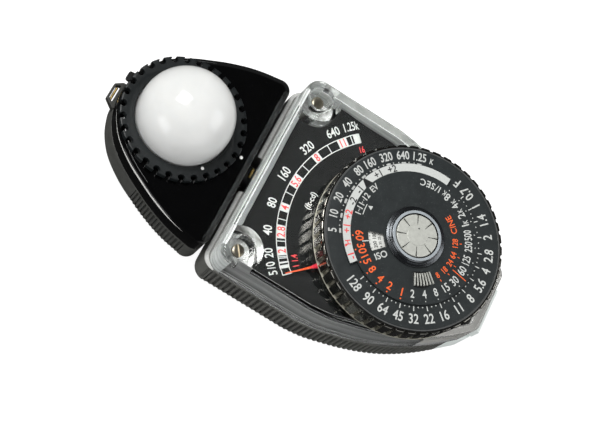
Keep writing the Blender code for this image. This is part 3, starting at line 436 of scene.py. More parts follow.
def filleted(keys, steps=10):
    out = []
    n = len(keys)
    for i in range(n):
        x, y, r = keys[i]
        if r <= 0:
            out.append((x, y))
            continue
        p, a, b = Vector((x, y)), Vector(keys[i - 1][:2]), Vector(keys[(i + 1) % n][:2])
        u, w = (a - p).normalized(), (b - p).normalized()
        half = math.acos(max(-1.0, min(1.0, u.dot(w)))) / 2
        reach = r / math.tan(half)
        centre = p + (u + w).normalized() * (r / math.sin(half))
        first, last = p + u * reach - centre, p + w * reach - centre
        a0 = math.atan2(first.y, first.x)
        a1 = math.atan2(last.y, last.x)
        turn = (a1 - a0 + math.pi) % (2 * math.pi) - math.pi
        for k in range(steps + 1):
            t = a0 + turn * k / steps
            out.append((centre.x + r * math.cos(t), centre.y + r * math.sin(t)))
    return out


def curve_through(keys, steps):
    pts = [Vector(k) for k in keys]
    pts = [pts[0] * 2 - pts[1]] + pts + [pts[-1] * 2 - pts[-2]]
    out = []
    for i in range(1, len(pts) - 2):
        p0, p1, p2, p3 = pts[i - 1:i + 3]
        for k in range(steps):
            t = k / steps
            out.append(0.5 * ((2 * p1) + (p2 - p0) * t + (2 * p0 - 5 * p1 + 4 * p2 - p3) * t * t + (3 * p1 - p0 - 3 * p2 + p3) * t ** 3))
    out.append(pts[-2])
    return [(p.x, p.y) for p in out]


def smooth(a, b, x):
    t = max(0.0, min(1.0, (x - a) / (b - a)))
    return t * t * (3 - 2 * t)


class Half:
    """The right-hand half of a symmetric outline, from one middle point to the other, with its outward normals."""

    def __init__(self, pts):
        kept = [Vector(pts[0])]
        for p in pts[1:]:
            if (Vector(p) - kept[-1]).length > 1e-4:
                kept.append(Vector(p))
        self.pts = kept
        self.at_s = [0.0]
        for a, b in zip(kept, kept[1:]):
            self.at_s.append(self.at_s[-1] + (b - a).length)
        self.total = self.at_s[-1]
        self.normals = []
        for i in range(len(kept)):
            d = (kept[min(i + 1, len(kept) - 1)] - kept[max(i - 1, 0)]).normalized()
            self.normals.append(Vector((d.y, -d.x)))

    def at(self, s):
        s = max(0.0, min(self.total, s))
        low, high = 0, len(self.at_s) - 1
        while high - low > 1:
            mid = (low + high) // 2
            if self.at_s[mid] <= s:
                low = mid
            else:
                high = mid
        span = self.at_s[high] - self.at_s[low]
        t = (s - self.at_s[low]) / span if span else 0.0
        return self.pts[low].lerp(self.pts[high], t), self.normals[low].lerp(self.normals[high], t).normalized()

    def nearest(self, x, y):
        best = min(range(len(self.pts)), key=lambda i: (self.pts[i].x - x) ** 2 + (self.pts[i].y - y) ** 2)
        return self.at_s[best]

    def ring(self, stations, inset, z):
        out = []
        for s in stations:
            p, n = self.at(s)
            d = inset(s) if callable(inset) else inset
            h = z(s) if callable(z) else z
            out.append((max(0.0, p.x - n.x * d), p.y - n.y * d, h))
        return out + [(-x, y, h) for x, y, h in reversed(out[1:-1])]


def body_half(tail, end, corner=4.0, inset=0.0):
    side = curve_through(BODY_KEYS, 10)
    side = [p for p in side if p[1] > tail + 2.2]
    (x0, y0), (x1, y1) = side[0], side[1]
    foot = x0 + (x1 - x0) * (tail - y0) / (y1 - y0)
    keys = [(0.0, tail, 0), (foot, tail, 3.2)] + [(x, y, 0) for x, y in side] + [(HALF_W, end, corner), (0.0, end, 0)]
    return Half(filleted(keys, 14))


def head_half():
    side = curve_through(HEAD_KEYS + [(2.2, 55.0), (0.0, 55.08)], 10)
    (x0, y0), (x1, y1) = side[0], side[1]
    x = x0 + (x1 - x0) * (HEAD_FOOT - y0) / (y1 - y0)
    keys = [(0.0, HEAD_FOOT, 0), (x, HEAD_FOOT, 3.0)] + [(a, b, 0) for a, b in side]
    return Half(filleted(keys, 14))


def plain_stations(half, step):
    """Even stations, closer where the outline turns."""
    out = [0.0]
    s = 0.0
    while s < half.total - step * 0.6:
        n0 = half.at(s)[1]
        for part in (1.0, 0.5, 0.25):
            if n0.dot(half.at(s + step * part)[1]) > 0.9945:
                break
        s += step * part
        if s < half.total - step * 0.1:
            out.append(s)
    out.append(half.total)
    return out


# ---------------------------------------------------------------- printed marks
THICK = 0.016        # thickness of the printed ink
PRINTS = {}
GLYPHS = {}


def glyph_mesh(text):
    if text not in GLYPHS:
        curve = bpy.data.curves.new("lettering", "FONT")
        curve.body = text
        curve.size = 1.0
        curve.resolution_u = 3
        curve.offset = 0.014
        obj = bpy.data.objects.new("lettering", curve)
        bpy.context.scene.collection.objects.link(obj)
        graph = bpy.context.evaluated_depsgraph_get()
        mesh = bpy.data.meshes.new_from_object(obj.evaluated_get(graph))
        points = [(v.co.x, v.co.y) for v in mesh.vertices]
        faces = [tuple(p.vertices) for p in mesh.polygons]
        GLYPHS[text] = (points, faces)
        bpy.data.objects.remove(obj)
        bpy.data.curves.remove(curve)
        bpy.data.meshes.remove(mesh)
    return GLYPHS[text]


def sheet_of(body, colour):
    key = (body, colour)
    if key not in PRINTS:
        PRINTS[key] = bmesh.new()
    return PRINTS[key]


def solid_from(bm, points, faces, z):
    """Thin closed ink from a flat mesh."""
    low = [bm.verts.new((x, y, z)) for x, y in points]
    high = [bm.verts.new((x, y, z + THICK)) for x, y in points]
    edges = {}
    for f in faces:
        bm.faces.new([high[i] for i in f])
        bm.faces.new([low[i] for i in reversed(f)])
        for a, b in zip(f, f[1:] + f[:1]):
            edges[(a, b)] = True
    for a, b in edges:
        if (b, a) not in edges:
            bm.faces.new((low[a], low[b], high[b], high[a]))


def label(body, colour, text, height, x, y, z, turn, wide=0.96):
    """Lettering of a given digit height, centred on a point and turned about it."""
    points, faces = glyph_mesh(text)
    reference = glyph_mesh("8")[0]
    unit = max(q[1] for q in reference) - min(q[1] for q in reference)
    base = min(q[1] for q in reference)
    scale = height / unit
    x0 = (max(q[0] for q in points) + min(q[0] for q in points)) / 2
    y0 = base + unit / 2
    c, s = math.cos(math.radians(turn)), math.sin(math.radians(turn))
    out = []
    for px, py in points:
        a, b = (px - x0) * scale * wide, (py - y0) * scale
        out.append((x + a * c - b * s, y + a * s + b * c))
    solid_from(sheet_of(body, colour), out, faces, z)


def polar_label(body, colour, text, height, centre, r, degrees, z, outward=True, wide=0.96, lean=0.0):
    a = math.radians(degrees)
    label(body, colour, text, height, centre[0] + r * math.cos(a), centre[1] + r * math.sin(a), z, degrees + (-90 if outward else 90) + lean, wide)


def curved_label(body, colour, text, height, centre, r, degrees, z, outward=True, wide=0.92, spacing=1.0):
    """Letters set one by one round an arc, centred on an angle."""
    reference = glyph_mesh("8")[0]
    unit = max(q[1] for q in reference) - min(q[1] for q in reference)
    widths = []
    for ch in text:
        if ch == " ":
            widths.append(0.35 * height * wide / 0.73)
        else:
            pts = glyph_mesh(ch)[0]
            widths.append((max(q[0] for q in pts) - min(q[0] for q in pts)) * height / unit * wide + 0.16 * height * spacing)
    total = sum(widths)
    run = -total / 2
    for ch, w in zip(text, widths):
        middle = run + w / 2
        run += w
        step = math.degrees(middle / r)
        at = degrees - step if outward else degrees + step
        if ch != " ":
            polar_label(body, colour, ch, height, centre, r, at, z, outward, wide)


def glyph_width(text, height, wide):
    points = glyph_mesh(text)[0]
    reference = glyph_mesh("8")[0]
    unit = max(q[1] for q in reference) - min(q[1] for q in reference)
    return (max(q[0] for q in points) - min(q[0] for q in points)) * height / unit * wide


def thousands(body, colour, number, height, centre, r, degrees, z, wide=0.9):
    """A number with a small K after it, tops inward, on one base line."""
    a = math.radians(degrees)
    along, up = Vector((-math.sin(a), math.cos(a))), Vector((-math.cos(a), -math.sin(a)))
    middle = Vector(centre) - up * r
    small = height * 0.66
    w0, w1, gap = glyph_width(number, height, wide), glyph_width("K", small, wide * 0.85), 0.12 * height
    start = -(w0 + gap + w1) / 2
    p = middle + along * (start + w0 / 2)
    label(body, colour, number, height, p.x, p.y, z, degrees + 90, wide)
    p = middle + along * (start + w0 + gap + w1 / 2) - up * ((height - small) / 2)
    label(body, colour, "K", small, p.x, p.y, z, degrees + 90, wide * 0.85)


def patch(body, colour, pts, z):
    n = len(pts)
    solid_from(sheet_of(body, colour), pts, [tuple(range(n))], z)


def arc_patch(body, colour, centre, r0, r1, a0, a1, z, step=1.5):
    """A band between two radii, from one angle to another, as thin quads."""
    low, high = sorted((a0, a1))
    n = max(1, int(math.ceil((high - low) / step)))
    points, faces = [], []
    for k in range(n + 1):
        a = math.radians(low + (high - low) * k / n)
        points += [(centre[0] + r0 * math.cos(a), centre[1] + r0 * math.sin(a)), (centre[0] + r1 * math.cos(a), centre[1] + r1 * math.sin(a))]
    for k in range(n):
        faces.append((2 * k, 2 * k + 1, 2 * k + 3, 2 * k + 2))
    solid_from(sheet_of(body, colour), points, faces, z)


def bar(body, colour, centre, r0, r1, degrees, width, z, width2=None):
    """A straight radial bar."""
    a = math.radians(degrees)
    u, w = Vector((math.cos(a), math.sin(a))), Vector((-math.sin(a), math.cos(a)))
    c = Vector(centre)
    h0, h1 = width / 2, (width2 if width2 is not None else width) / 2
    patch(body, colour, [tuple(c + u * r0 - w * h0), tuple(c + u * r1 - w * h1), tuple(c + u * r1 + w * h1), tuple(c + u * r0 + w * h0)], z)


def dot(body, colour, centre, r, degrees, radius, z, n=12):
    a = math.radians(degrees)
    x, y = centre[0] + r * math.cos(a), centre[1] + r * math.sin(a)
    patch(body, colour, [(x + radius * math.cos(2 * math.pi * k / n), y + radius * math.sin(2 * math.pi * k / n)) for k in range(n)], z)


# The outer dial: lens stops inside its lower half, light numbers round its upper half
Z_FACE = FACE_TOP + 0.004
STOPS = [("128", 156.5), ("90", 170.3), ("64", 182.4), ("45", 194.0), ("32", 205.6), ("22", 217.2), ("16", 229.4), ("11", 241.7), ("8", 253.7),
         ("5.6", 266.3), ("4", 277.9), ("2.8", 289.5), ("2", 303.1), ("1.4", 316.2), ("1", 327.1), ("0.7", 338.5), ("F", 348.9)]
for text, at in STOPS:
    r = 21.35 - 0.7 * smooth(280, 345, at)
    polar_label("dial_ring", "white", text, 2.6, D, r, at, Z_FACE, outward=False, wide=0.82)
for k in range(16):
    at = STOPS[k][1]
    after = STOPS[k + 1][1] if k < 15 else at + 10.8
    bar("dial_ring", "white", D, 18.05, 19.35, at, 0.26, Z_FACE)
    if k < 15:
        for part in (1, 2):
            dot("dial_ring", "white", D, 18.35, at + (after - at) * part / 3, 0.17, Z_FACE)
LIGHTS = [("5", 117.1), ("10", 105.6), ("20", 93.8), ("40", 81.5), ("80", 69.0), ("160", 58.6), ("320", 45.9), ("640", 33.4), ("1.25", 21.1), ("K", 12.1)]
for text, at in LIGHTS:
    polar_label("dial_ring", "white", text, 1.6 if text == "K" else 2.35, D, 22.05 if text == "K" else 22.35, at, Z_FACE, outward=True, wide=0.76)
for k, (text, at) in enumerate(LIGHTS[:-1]):
    arc_patch("dial_ring", "white", D, 19.95, 20.5, at - 1.75, at + 1.75, Z_FACE)
    if k < len(LIGHTS) - 2:
        after = LIGHTS[k + 1][1]
        for part in (1, 2):
            dot("dial_ring", "white", D, 20.4, at + (after - at) * part / 3, 0.17, Z_FACE)

# The inner dial: shutter times, and the white correction scale on its sector
Z_DISC = DISC_TOP + 0.004
TIMES = [("2", 203.0), ("4", 215.6), ("8", 228.0), ("15", 240.4), ("30", 252.4), ("60", 266.3), ("125", 278.6), ("250", 292.7), ("500", 304.6), ("1K", 317.1), ("2K", 327.3), ("4K", 338.3), ("8K", 350.5)]
for text, at in TIMES:
    if text.endswith("K"):
        thousands("inner_dial", "white", text[:-1], 2.2, D, 15.1, at, Z_DISC, 0.86)
    else:
        polar_label("inner_dial", "white", text, 2.2, D, 15.1, at, Z_DISC, outward=False, wide=0.63 if len(text) > 2 else 0.78)
    dot("inner_dial", "white", D, 17.0, at, 0.15, Z_DISC)
curved_label("inner_dial", "white", "1/SEC", 1.85, D, 15.35, 9.0, Z_DISC, outward=False, wide=0.95)
SLOW = [("60", 121.0), ("30", 133.7), ("15", 145.1), ("8", 155.9), ("4", 167.5), ("2", 178.8), ("1", 192.1)]
for text, at in SLOW:
    polar_label("inner_dial", "orange", text, 2.25, D, 15.35, at, Z_DISC, outward=False, wide=0.92)
    dot("inner_dial", "orange", D, 17.15, at, 0.22, Z_DISC)
curved_label("inner_dial", "orange", "CINE", 1.7, D, 11.4, 319.5, Z_DISC, outward=False, wide=0.95)
for text, at in [("128", 294.4), ("64", 277.4), ("24", 265.5), ("18", 252.5), ("8", 239.5)]:
    polar_label("inner_dial", "orange", text, 1.6, D, 11.3, at, Z_DISC, outward=False, wide=0.82)
    bar("inner_dial", "orange", D, 12.55, 13.2, at, 0.2, Z_DISC)
bar("inner_dial", "orange", D, 12.9, 17.4, 260.4, 0.24, Z_DISC)
for text, at in (("1", 99.8), ("11", 92.0), ("12", 81.2), ("EV", 69.3)):
    polar_label("inner_dial", "white", text, 1.7, D, 16.35, at, Z_DISC, outward=True, wide=0.95)
for at in (97.6, 95.9, 88.2, 85.9):
    dot("inner_dial", "white", D, 16.35, at, 0.15, Z_DISC)
arc_patch("inner_dial", "white", D, 14.92, 15.14, 87.3, 98.9, Z_DISC)
patch("inner_dial", "white", [(D[0] + r * math.cos(math.radians(a)), D[1] + r * math.sin(math.radians(a))) for r, a in ((13.45, 85.4), (14.6, 88.1), (13.45, 90.8))], Z_DISC)
bar("inner_dial", "white", D, 12.95, 14.8, 126.7, 0.28, Z_DISC)
label("inner_dial", "white", "ISO", 1.8, -9.37, -21.31, Z_DISC, -40.5, 1.0)

# White sector with its correction marks
arc_patch("inner_dial", "white", D, 17.75, 19.85, -5.0, 142.8, Z_DISC, 1.0)
Z_TOP = Z_DISC + THICK + 0.004
for colour, text, at in (("red", "-1", 138.1), ("red", "H", 126.8), ("red", "+1", 115.9), ("red", "+2", 103.9), ("black", "-2", 92.0), ("black", "-1", 80.8), ("black", "+1", 59.1), ("black", "+2", 45.5)):
    polar_label("inner_dial", colour, text, 1.9 if text[0] in "+-" else 1.5, D, 18.75, at, Z_TOP, outward=True, wide=0.95)
patch("inner_dial", "red", [(D[0] + r * math.cos(math.radians(a)), D[1] + r * math.sin(math.radians(a))) for r, a in ((19.7, 130.1), (18.9, 129.0), (19.7, 128.0))], Z_TOP)
patch("inner_dial", "black", [(D[0] + r * math.cos(math.radians(a)), D[1] + r * math.sin(math.radians(a))) for r, a in ((17.76, 75.4), (17.76, 67.6), (19.84, 70.6), (19.84, 72.4))], Z_TOP)

# Film speed disc seen through its window
Z_FILM = 30.7 + 0.004
for text, at in (("100", 119.5), ("200", 131.5), ("400", 143.5), ("50", 107.5), ("25", 95.5), ("800", 155.5), ("12", 83.5), ("1600", 168.0)):
    polar_label("film_disc", "black", text, 1.0, D, 10.95, at, Z_FILM, outward=True, wide=0.9)
for k in range(48):
    polar_label("film_disc", "black", ("64", "80", "12", "16", "25", "32")[k % 6], 0.72, D, 9.55, 7.5 * k + 3.0, Z_FILM, outward=True, wide=0.9)
for k in range(72):
    bar("film_disc", "black", D, 12.1 if k % 3 else 11.95, 12.8, k * 5.0, 0.13, Z_FILM)

# The meter scale on the plate
Z_PLATE = PLATE_TOP + 0.004
ARC_LOW, ARC_HIGH = 29.4, 31.9
arc_patch("case", "white", P, ARC_LOW - 0.12, ARC_LOW + 0.12, 43.1, 135.8, Z_PLATE, 1.0)
arc_patch("case", "white", P, ARC_HIGH - 0.12, ARC_HIGH + 0.12, 43.1, 135.8, Z_PLATE, 1.0)
BLOCKS = [("2", 124.1, 1.9), ("2.8", 114.5, 3.2), ("4", 101.9, 1.9), ("5.6", 86.6, 3.3), ("8", 69.2, 1.9), ("11", 52.6, 2.4)]
for text, at, wide in BLOCKS:
    half = math.degrees(wide * 0.5 / 30.6) + 0.35
    arc_patch("case", "white", P, ARC_LOW, ARC_HIGH, at - half, at + half, Z_PLATE, 1.0)
    polar_label("case", "red", text, 2.2, P, 30.65, at, Z_PLATE + THICK + 0.004, outward=True, wide=0.78)
for at, half in ((135.8, 0.22), (131.6, 0.75), (129.7, 0.35), (43.1, 0.25), (127.6, 0.2), (126.9, 0.2), (119.2, 0.22), (108.2, 0.22), (94.2, 0.22), (77.9, 0.22), (60.8, 0.22), (47.6, 0.22)):
    arc_patch("case", "white", P, ARC_LOW, ARC_HIGH, at - half, at + half, Z_PLATE, 1.0)
for text, at in (("5", 133.8), ("10", 130.2), ("20", 124.8), ("40", 114.6), ("80", 101.8), ("160", 86.7), ("320", 69.8), ("640", 54.9), ("1.25k", 45.5)):
    polar_label("case", "white", text, 2.45, P, 34.3, at, Z_PLATE, outward=True, wide={"1.25k": 0.62, "10": 0.66}.get(text, 0.8))
for text, at in (("16", 43.6), ("1.4", 128.1), ("1", 132.4)):
    polar_label("case", "red", text, 1.75, P, 27.5, at, Z_PLATE, outward=True, wide=0.72)
polar_label("case", "white", "(ft-cd)", 1.7, P, 24.9, 91.6, Z_PLATE, outward=True, wide=0.9)
arc_patch("case", "white", P, ARC_LOW, ARC_HIGH, 43.1, 46.4, Z_PLATE, 1.0)

for k in range(8):
    bar("button", "black", D, 3.0, 5.5, 22.5 + 45 * k, 0.16, 33.105)
PRINT_NAMES = {"button": "button_groove", "dial_ring": "dial_ring", "inner_dial": "inner_dial", "film_disc": "film_disc", "case": "meter_scale"}
for (body, colour), bm in PRINTS.items():
    made = mesh_object("print_%s_%s" % (PRINT_NAMES[body], colour), bm)
    made.data.materials.append((SCALE_INK if body == "case" else INK)[colour])
    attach(made, body)

# ---------------------------------------------------------------- rear case
case_line = body_half(TAIL, BODY_END)
rib_from = case_line.nearest(11.6, -52.3)
rib_to = case_line.nearest(HALF_W, 10.6)
count = int((rib_to - rib_from) / RIB_PITCH)
bars_at = [rib_to - 0.75 - RIB_PITCH * k for k in range(count)][::-1]
rib_low, rib_high = bars_at[0] - RIB_PITCH / 2, bars_at[-1] + RIB_PITCH / 2
BAR_STEPS = (-0.47, -0.435, -0.37, -0.2, 0.0, 0.2, 0.37, 0.435, 0.47)
BODY_SLIM = 0.87


def tail_step(s):
    """The case steps in behind the pale end cap at the tail."""
    return 1.0 * (1 - smooth(rib_low - 0.5, rib_low - 0.25, s))


def crown(q):
    """Height of a rib over its own half width: flat in the middle, rounded edges."""
    for (q0, h0), (q1, h1) in zip(((0.0, 1.0), (0.2, 0.985), (0.37, 0.9), (0.435, 0.62), (0.47, 0.0)), ((0.2, 0.985), (0.37, 0.9), (0.435, 0.62), (0.47, 0.0), (9.0, 0.0))):
        if q <= q1:
            return h0 + (h1 - h0) * (q - q0) / (q1 - q0)
    return 0.0


def lower_inset(z, reach=3.0, height=BACK_R):
    if z >= height:
        return 0.0
    c = 1 - z / height
    return reach * (1 - math.sqrt(max(0.0, 1 - c * c)))


def ribbed(bars, low_s, high_s, z_low, z_high, depth, slim=1.0):
    """Recess below the ribs' crowns, at any station and height."""
    def recess(s, z):
        if s <= low_s or s >= high_s or z <= z_low - 0.12 or z >= z_high + 0.12:
            return 0.0
        band = smooth(z_low - 0.12, z_low, z) * (1 - smooth(z_high, z_high + 0.12, z))
        near = min(bars, key=lambda c: abs(c - s))
        q = math.hypot((s - near) / slim, max(0.0, z_low + 0.5 - z))
        return depth * band * (1 - crown(q))
    return recess


body_recess = ribbed(bars_at, rib_low, rib_high, 1.2, 10.95, 1.0, BODY_SLIM)
groove_s = case_line.nearest(28.5, 12.8)


def case_inset(z):
    def at(s):
        groove = 0.45 * (1 - smooth(0.22, 0.4, abs(s - groove_s))) * smooth(2.6, 3.2, z) * (1 - smooth(11.1, 11.2, z))
        return lower_inset(z) + body_recess(s, z) + groove + tail_step(s) * min(1.0, 3.1 - lower_inset(z))
    return at


case_stations = []
for s in plain_stations(case_line, 0.8):
    if s < rib_low - 0.1 or s > rib_high + 0.1:
        if abs(s - groove_s) > 0.55:
            case_stations.append(s)
case_stations += [groove_s + d for d in (-0.5, -0.4, -0.3, -0.22, -0.1, 0.1, 0.22, 0.3, 0.4, 0.5)]
case_stations += [rib_low - 0.5, rib_low - 0.38, rib_low - 0.25, rib_low - 0.04, rib_low, rib_high, rib_high + 0.04]
for c in bars_at:
    case_stations += [c + d * BODY_SLIM for d in BAR_STEPS] + [c + RIB_PITCH / 2]
case_stations = sorted(set(round(s, 4) for s in case_stations))

ledge_from, ledge_to = case_line.nearest(29.0, 11.0), case_line.nearest(26.5, 15.5)
def sloped(z_side, z_end):
    """The top of the case falls away towards the head along its end wall."""
    return lambda s: z_side + (z_end - z_side) * smooth(ledge_from, ledge_to, s)


heights = [0.0, 0.04, 0.14, 0.32, 0.6, 0.9, 1.08, 1.2, 1.28, 1.36, 1.45, 1.55, 1.65, 1.75, 1.95, 2.3, 2.6, 3.0, 3.4, 4.6, 7.5, 10.3, 10.8, 10.95, 11.07]
loops = [case_line.ring(case_stations, case_inset(z), z) for z in heights]
loops += [
    case_line.ring(case_stations, lambda s: 0.0 + tail_step(s), sloped(11.7, 11.45)),
    case_line.ring(case_stations, lambda s: 0.04 + tail_step(s), sloped(11.88, 11.58)),
    case_line.ring(case_stations, lambda s: 0.14 + tail_step(s), sloped(11.97, 11.66)),
    case_line.ring(case_stations, lambda s: 0.3 + tail_step(s), sloped(12.0, 11.74)),
    case_line.ring(case_stations, 1.42, sloped(12.0, 12.20)),
    case_line.ring(case_stations, 1.5, sloped(12.0, 12.22)),
    case_line.ring(case_stations, WALL, sloped(12.0, 12.22)),
    case_line.ring(case_stations, WALL, BACK_R),
    case_line.ring(case_stations, 2.3, 2.2),
    case_line.ring(case_stations, 3.1, FLOOR),
]
bosses = bmesh.new()
for sx, sy in SCREWS:
    cylinder(bosses, 2.9, FLOOR - 0.4, CASE_TOP - 0.1, 40, (sx, sy))
cylinder(bosses, 2.6, FLOOR - 0.4, CASE_TOP - 0.1, 40, TAIL_SCREW)
holes = bmesh.new()
for sx, sy in SCREWS:
    cylinder(holes, 1.2, 4.0, CASE_TOP + 1, 28, (sx, sy), 0.17)
cylinder(holes, 1.2, 1.0, CASE_TOP + 1, 28, TAIL_SCREW, 0.17)
sinks = bmesh.new()
cylinder(sinks, 2.0, -1.0, 1.8, 40, TAIL_SCREW, 0.07)
cylinder(sinks, 2.1, -1.0, FLOOR + 1, 40, P, 0.07)
box(sinks, -5.9, 5.2, 11.7, BODY_END + 1, 3.0, CASE_TOP + 1)
pocket = bmesh.new()
prism(pocket, filleted([(-19.0, -42.0, 3.0), (19.0, -42.0, 3.0), (19.0, 8.0, 3.0), (-19.0, 8.0, 3.0)], 12), -1.0, 0.85)
piece("case_shell", skin(bmesh.new(), loops), CASE_SATIN, "case", ("rear_case",), sharp=38,
      cuts=(("UNION", bosses), ("DIFFERENCE", holes), ("DIFFERENCE", sinks), ("DIFFERENCE", pocket)))


def band(half, walk, section):
    """A strip along the outline: the same kind of section set at every station, mirrored where the sign is negative."""
    loops = []
    for s, sign in walk:
        p, n = half.at(s)
        loops.append([(sign * (p.x - n.x * d), p.y - n.y * d, z) for d, z in section(s)])
    return skin(bmesh.new(), loops)


def steps(low, high, step):
    n = max(2, int(math.ceil(abs(high - low) / step)))
    return [low + (high - low) * k / n for k in range(n + 1)]


# Pale end cap over the tail, its pale colour painted light standing in for the brightness seen at the tail
cap_end = rib_low - 0.45
CAP_Z = (0.9, 1.2, 1.6, 2.1, 2.7, 3.4, 6.0, 9.0, 11.6)
cap_section = [(lower_inset(z) + 0.02, z) for z in CAP_Z] + [(0.05, 11.85), (0.18, 12.02), (1.0, 12.02)] + [(lower_inset(z) + 0.95, z) for z in reversed(CAP_Z)]
walk = [(s, -1) for s in steps(cap_end, 0.0, 0.35)[:-1]] + [(s, 1) for s in steps(0.0, cap_end, 0.35)]
piece("tail_cap", band(case_line, walk, lambda s: cap_section), PALE_PAINTED_LIGHT, "case", sharp=40)

# Ledge on the case in front of the cover's end wall, open at the notch; its pale grey is painted light standing in for
# the light seen through the cover's clear flange
for side, sign, stop in (("left", -1, 5.95), ("right", 1, 5.25)):
    slope = lambda s: smooth(ledge_from, ledge_to, s)
    at_end = lambda s: [(0.05, 11.72 - 0.24 * slope(s)), (1.0, 12.01 + 0.03 * slope(s)), (1.0, 12.05 + 0.09 * slope(s)), (0.3, 12.05 - 0.26 * slope(s)), (0.06, 11.94 - 0.28 * slope(s))]
    walk = [(s, sign) for s in steps(case_line.nearest(29.0, 11.9), case_line.total - stop, 0.3)]
    piece("case_ledge_%s" % side, band(case_line, walk, at_end), LEDGE_PAINTED_LIGHT, "case", sharp=40)

# ---------------------------------------------------------------- clear cover
cover_line = body_half(TAIL + 2.5, COVER_END)
cover_stations = plain_stations(cover_line, 0.7)
end_from, end_to = cover_line.nearest(29.0, 9.2), cover_line.nearest(24.5, 14.5)


def wall_at(side, end):
    return lambda s: side + (end - side) * smooth(end_from, end_to, s)


rows = [(wall_at(2.5, 1.6), 21.7), (wall_at(2.1, 1.2), 21.6), (wall_at(1.9, 1.0), 21.2), (wall_at(1.9, 1.0), 12.42), (wall_at(1.78, 0.9), COVER_BOT), (0.12, COVER_BOT), (0.0, 12.42), (0.0, 22.55)]
for k in range(1, 7):
    a = math.radians(15 * k)
    rows.append((0.95 * (1 - math.cos(a)), 22.55 + 0.95 * math.sin(a)))
cover = skin(bmesh.new(), [cover_line.ring(cover_stations, i, z) for i, z in rows])
boss = bmesh.new()
cylinder(boss, 2.3, COVER_BOT + 0.1, COVER_TOP - 1.0, 48, TAIL_SCREW)
ridge = bmesh.new()
section = filleted([(-55.55, COVER_BOT, 0), (-57.95, COVER_BOT, 0.15), (-58.0, 17.45, 0.6), (-55.55, 17.2, 0)], 8)
left = [ridge.verts.new((-6.7, y, z)) for y, z in section]
right = [ridge.verts.new((6.7, y, z)) for y, z in section]
for i in range(len(section)):
    j = (i + 1) % len(section)
    ridge.faces.new((left[i], left[j], right[j], right[i]))
ridge.faces.new(left)
ridge.faces.new(list(reversed(right)))
wells = bmesh.new()
for sx, sy in SCREWS:
    lathe(wells, [(0, COVER_BOT - 1), (1.2, COVER_BOT - 1), (1.2, 19.0), (3.3, 19.0), (3.3, 23.3), (3.5, 23.52), (3.5, COVER_TOP + 1), (0, COVER_TOP + 1)], 72, (sx, sy), 0.13)
cylinder(wells, 1.0, COVER_BOT - 1, 19.0, 28, TAIL_SCREW, 0.17)
cylinder(wells, 5.5, COVER_TOP - 4, COVER_TOP + 1, 96, D)


def trimmed_boss(centre):
    """A round boss cut off where it would leave the cover."""
    obj = mesh_object("boss_tool", cylinder(bmesh.new(), 6.0, COVER_BOT + 0.1, COVER_TOP - 1.0, 96, centre))
    limit = skin(bmesh.new(), [cover_line.ring(cover_stations, 0.4, COVER_BOT - 1), cover_line.ring(cover_stations, 0.4, COVER_TOP + 1)])
    carve(obj, limit, "INTERSECT")
    bm = bmesh.new()
    bm.from_mesh(obj.data)
    for v in bm.verts:
        v.co = v.co / MM
    used = obj.data
    bpy.data.objects.remove(obj)
    bpy.data.meshes.remove(used)
    return bm


piece("cover_shell", cover, CLEAR, "case", ("front_cover",), sharp=34,
      cuts=(("UNION", trimmed_boss(SCREWS[0])), ("UNION", trimmed_boss(SCREWS[1])), ("UNION", boss), ("DIFFERENCE", wells)))
# tail ridge: its pale opaque colour is painted light standing in for the light seen through the clear ridge
piece("tail_ridge", ridge, PALE_PAINTED_LIGHT, "case", sharp=40, bevel=0.1)


# Grey sealing strip under the cover's walls
rows = [(0.15, 12.02), (0.15, 12.26), (wall_at(1.8, 0.95), 12.26), (wall_at(1.8, 0.95), 12.02)]
strip = bmesh.new()
rings = [[strip.verts.new(q) for q in cover_line.ring(cover_stations, i, z)] for i, z in rows]
for a, b in zip(rings, rings[1:] + rings[:1]):
    for i in range(len(a)):
        strip.faces.new((a[i], a[(i + 1) % len(a)], b[(i + 1) % len(a)], b[i]))
piece("cover_seal", strip, GASKET, "case")

# Opaque sheets inside the cover's walls, painted with bands of light and shade that stand in for the light seen through
# the clear walls, with a pale painted-light shelf beside the plate at the end and at the tail
boss_holes = lambda r: cylinder(cylinder(bmesh.new(), r, 10, 25, 96, SCREWS[0]), r, 10, 25, 96, SCREWS[1])
side_from, side_to = cover_line.nearest(17.6, -45.0), cover_line.nearest(29.0, 4.9)
end_at = cover_line.nearest(19.0, COVER_END)
end_walk = [(s, 1) for s in steps(end_at, cover_line.total, 0.6)] + [(s, -1) for s in steps(cover_line.total, end_at, 0.6)[1:]]
wall_section = lambda s: [(wall_at(1.97, 1.08)(s), 12.5), (wall_at(1.97, 1.08)(s), 21.4), (wall_at(2.1, 1.22)(s), 21.4), (wall_at(2.1, 1.22)(s), 12.5)]
piece("end_wall_painted_light", band(cover_line, end_walk, wall_section), WALL_PAINTED_LIGHT, "case")
piece("end_shelf_painted_light", band(cover_line, end_walk, lambda s: [(1.3, 17.2), (1.3, 17.35), (2.82, 17.35), (2.82, 17.2)]), WALL_PAINTED_LIGHT, "case",
      cuts=(("DIFFERENCE", boss_holes(6.05)),))
for side, sign in (("left", -1), ("right", 1)):
    walk = [(s, sign) for s in steps(side_from, side_to, 0.6)]
    piece("side_wall_painted_light_%s" % side, band(cover_line, walk, wall_section), SIDE_PAINTED_LIGHT if sign < 0 else WALL_PAINTED_LIGHT, "case")
    walk = [(s, sign) for s in steps(side_to - 0.3, end_at + 0.3, 0.3)]
    piece("corner_painted_light_%s" % side, band(cover_line, walk, lambda s: [(0.28, 12.55), (0.28, 21.3), (0.40, 21.3), (0.40, 12.55)]), WALL_PAINTED_LIGHT, "case")
tail_from = cover_line.nearest(18.2, -44.0)
walk = [(s, -1) for s in steps(tail_from, 0.0, 0.4)[:-1]] + [(s, 1) for s in steps(0.0, tail_from, 0.4)]
piece("tail_wall_painted_light", band(cover_line, walk, lambda s: [(0.2, 12.5), (0.2, 20.1), (2.2, 20.1), (2.2, 19.98), (0.32, 19.98), (0.32, 12.5)]), TAIL_PAINTED_LIGHT, "case")
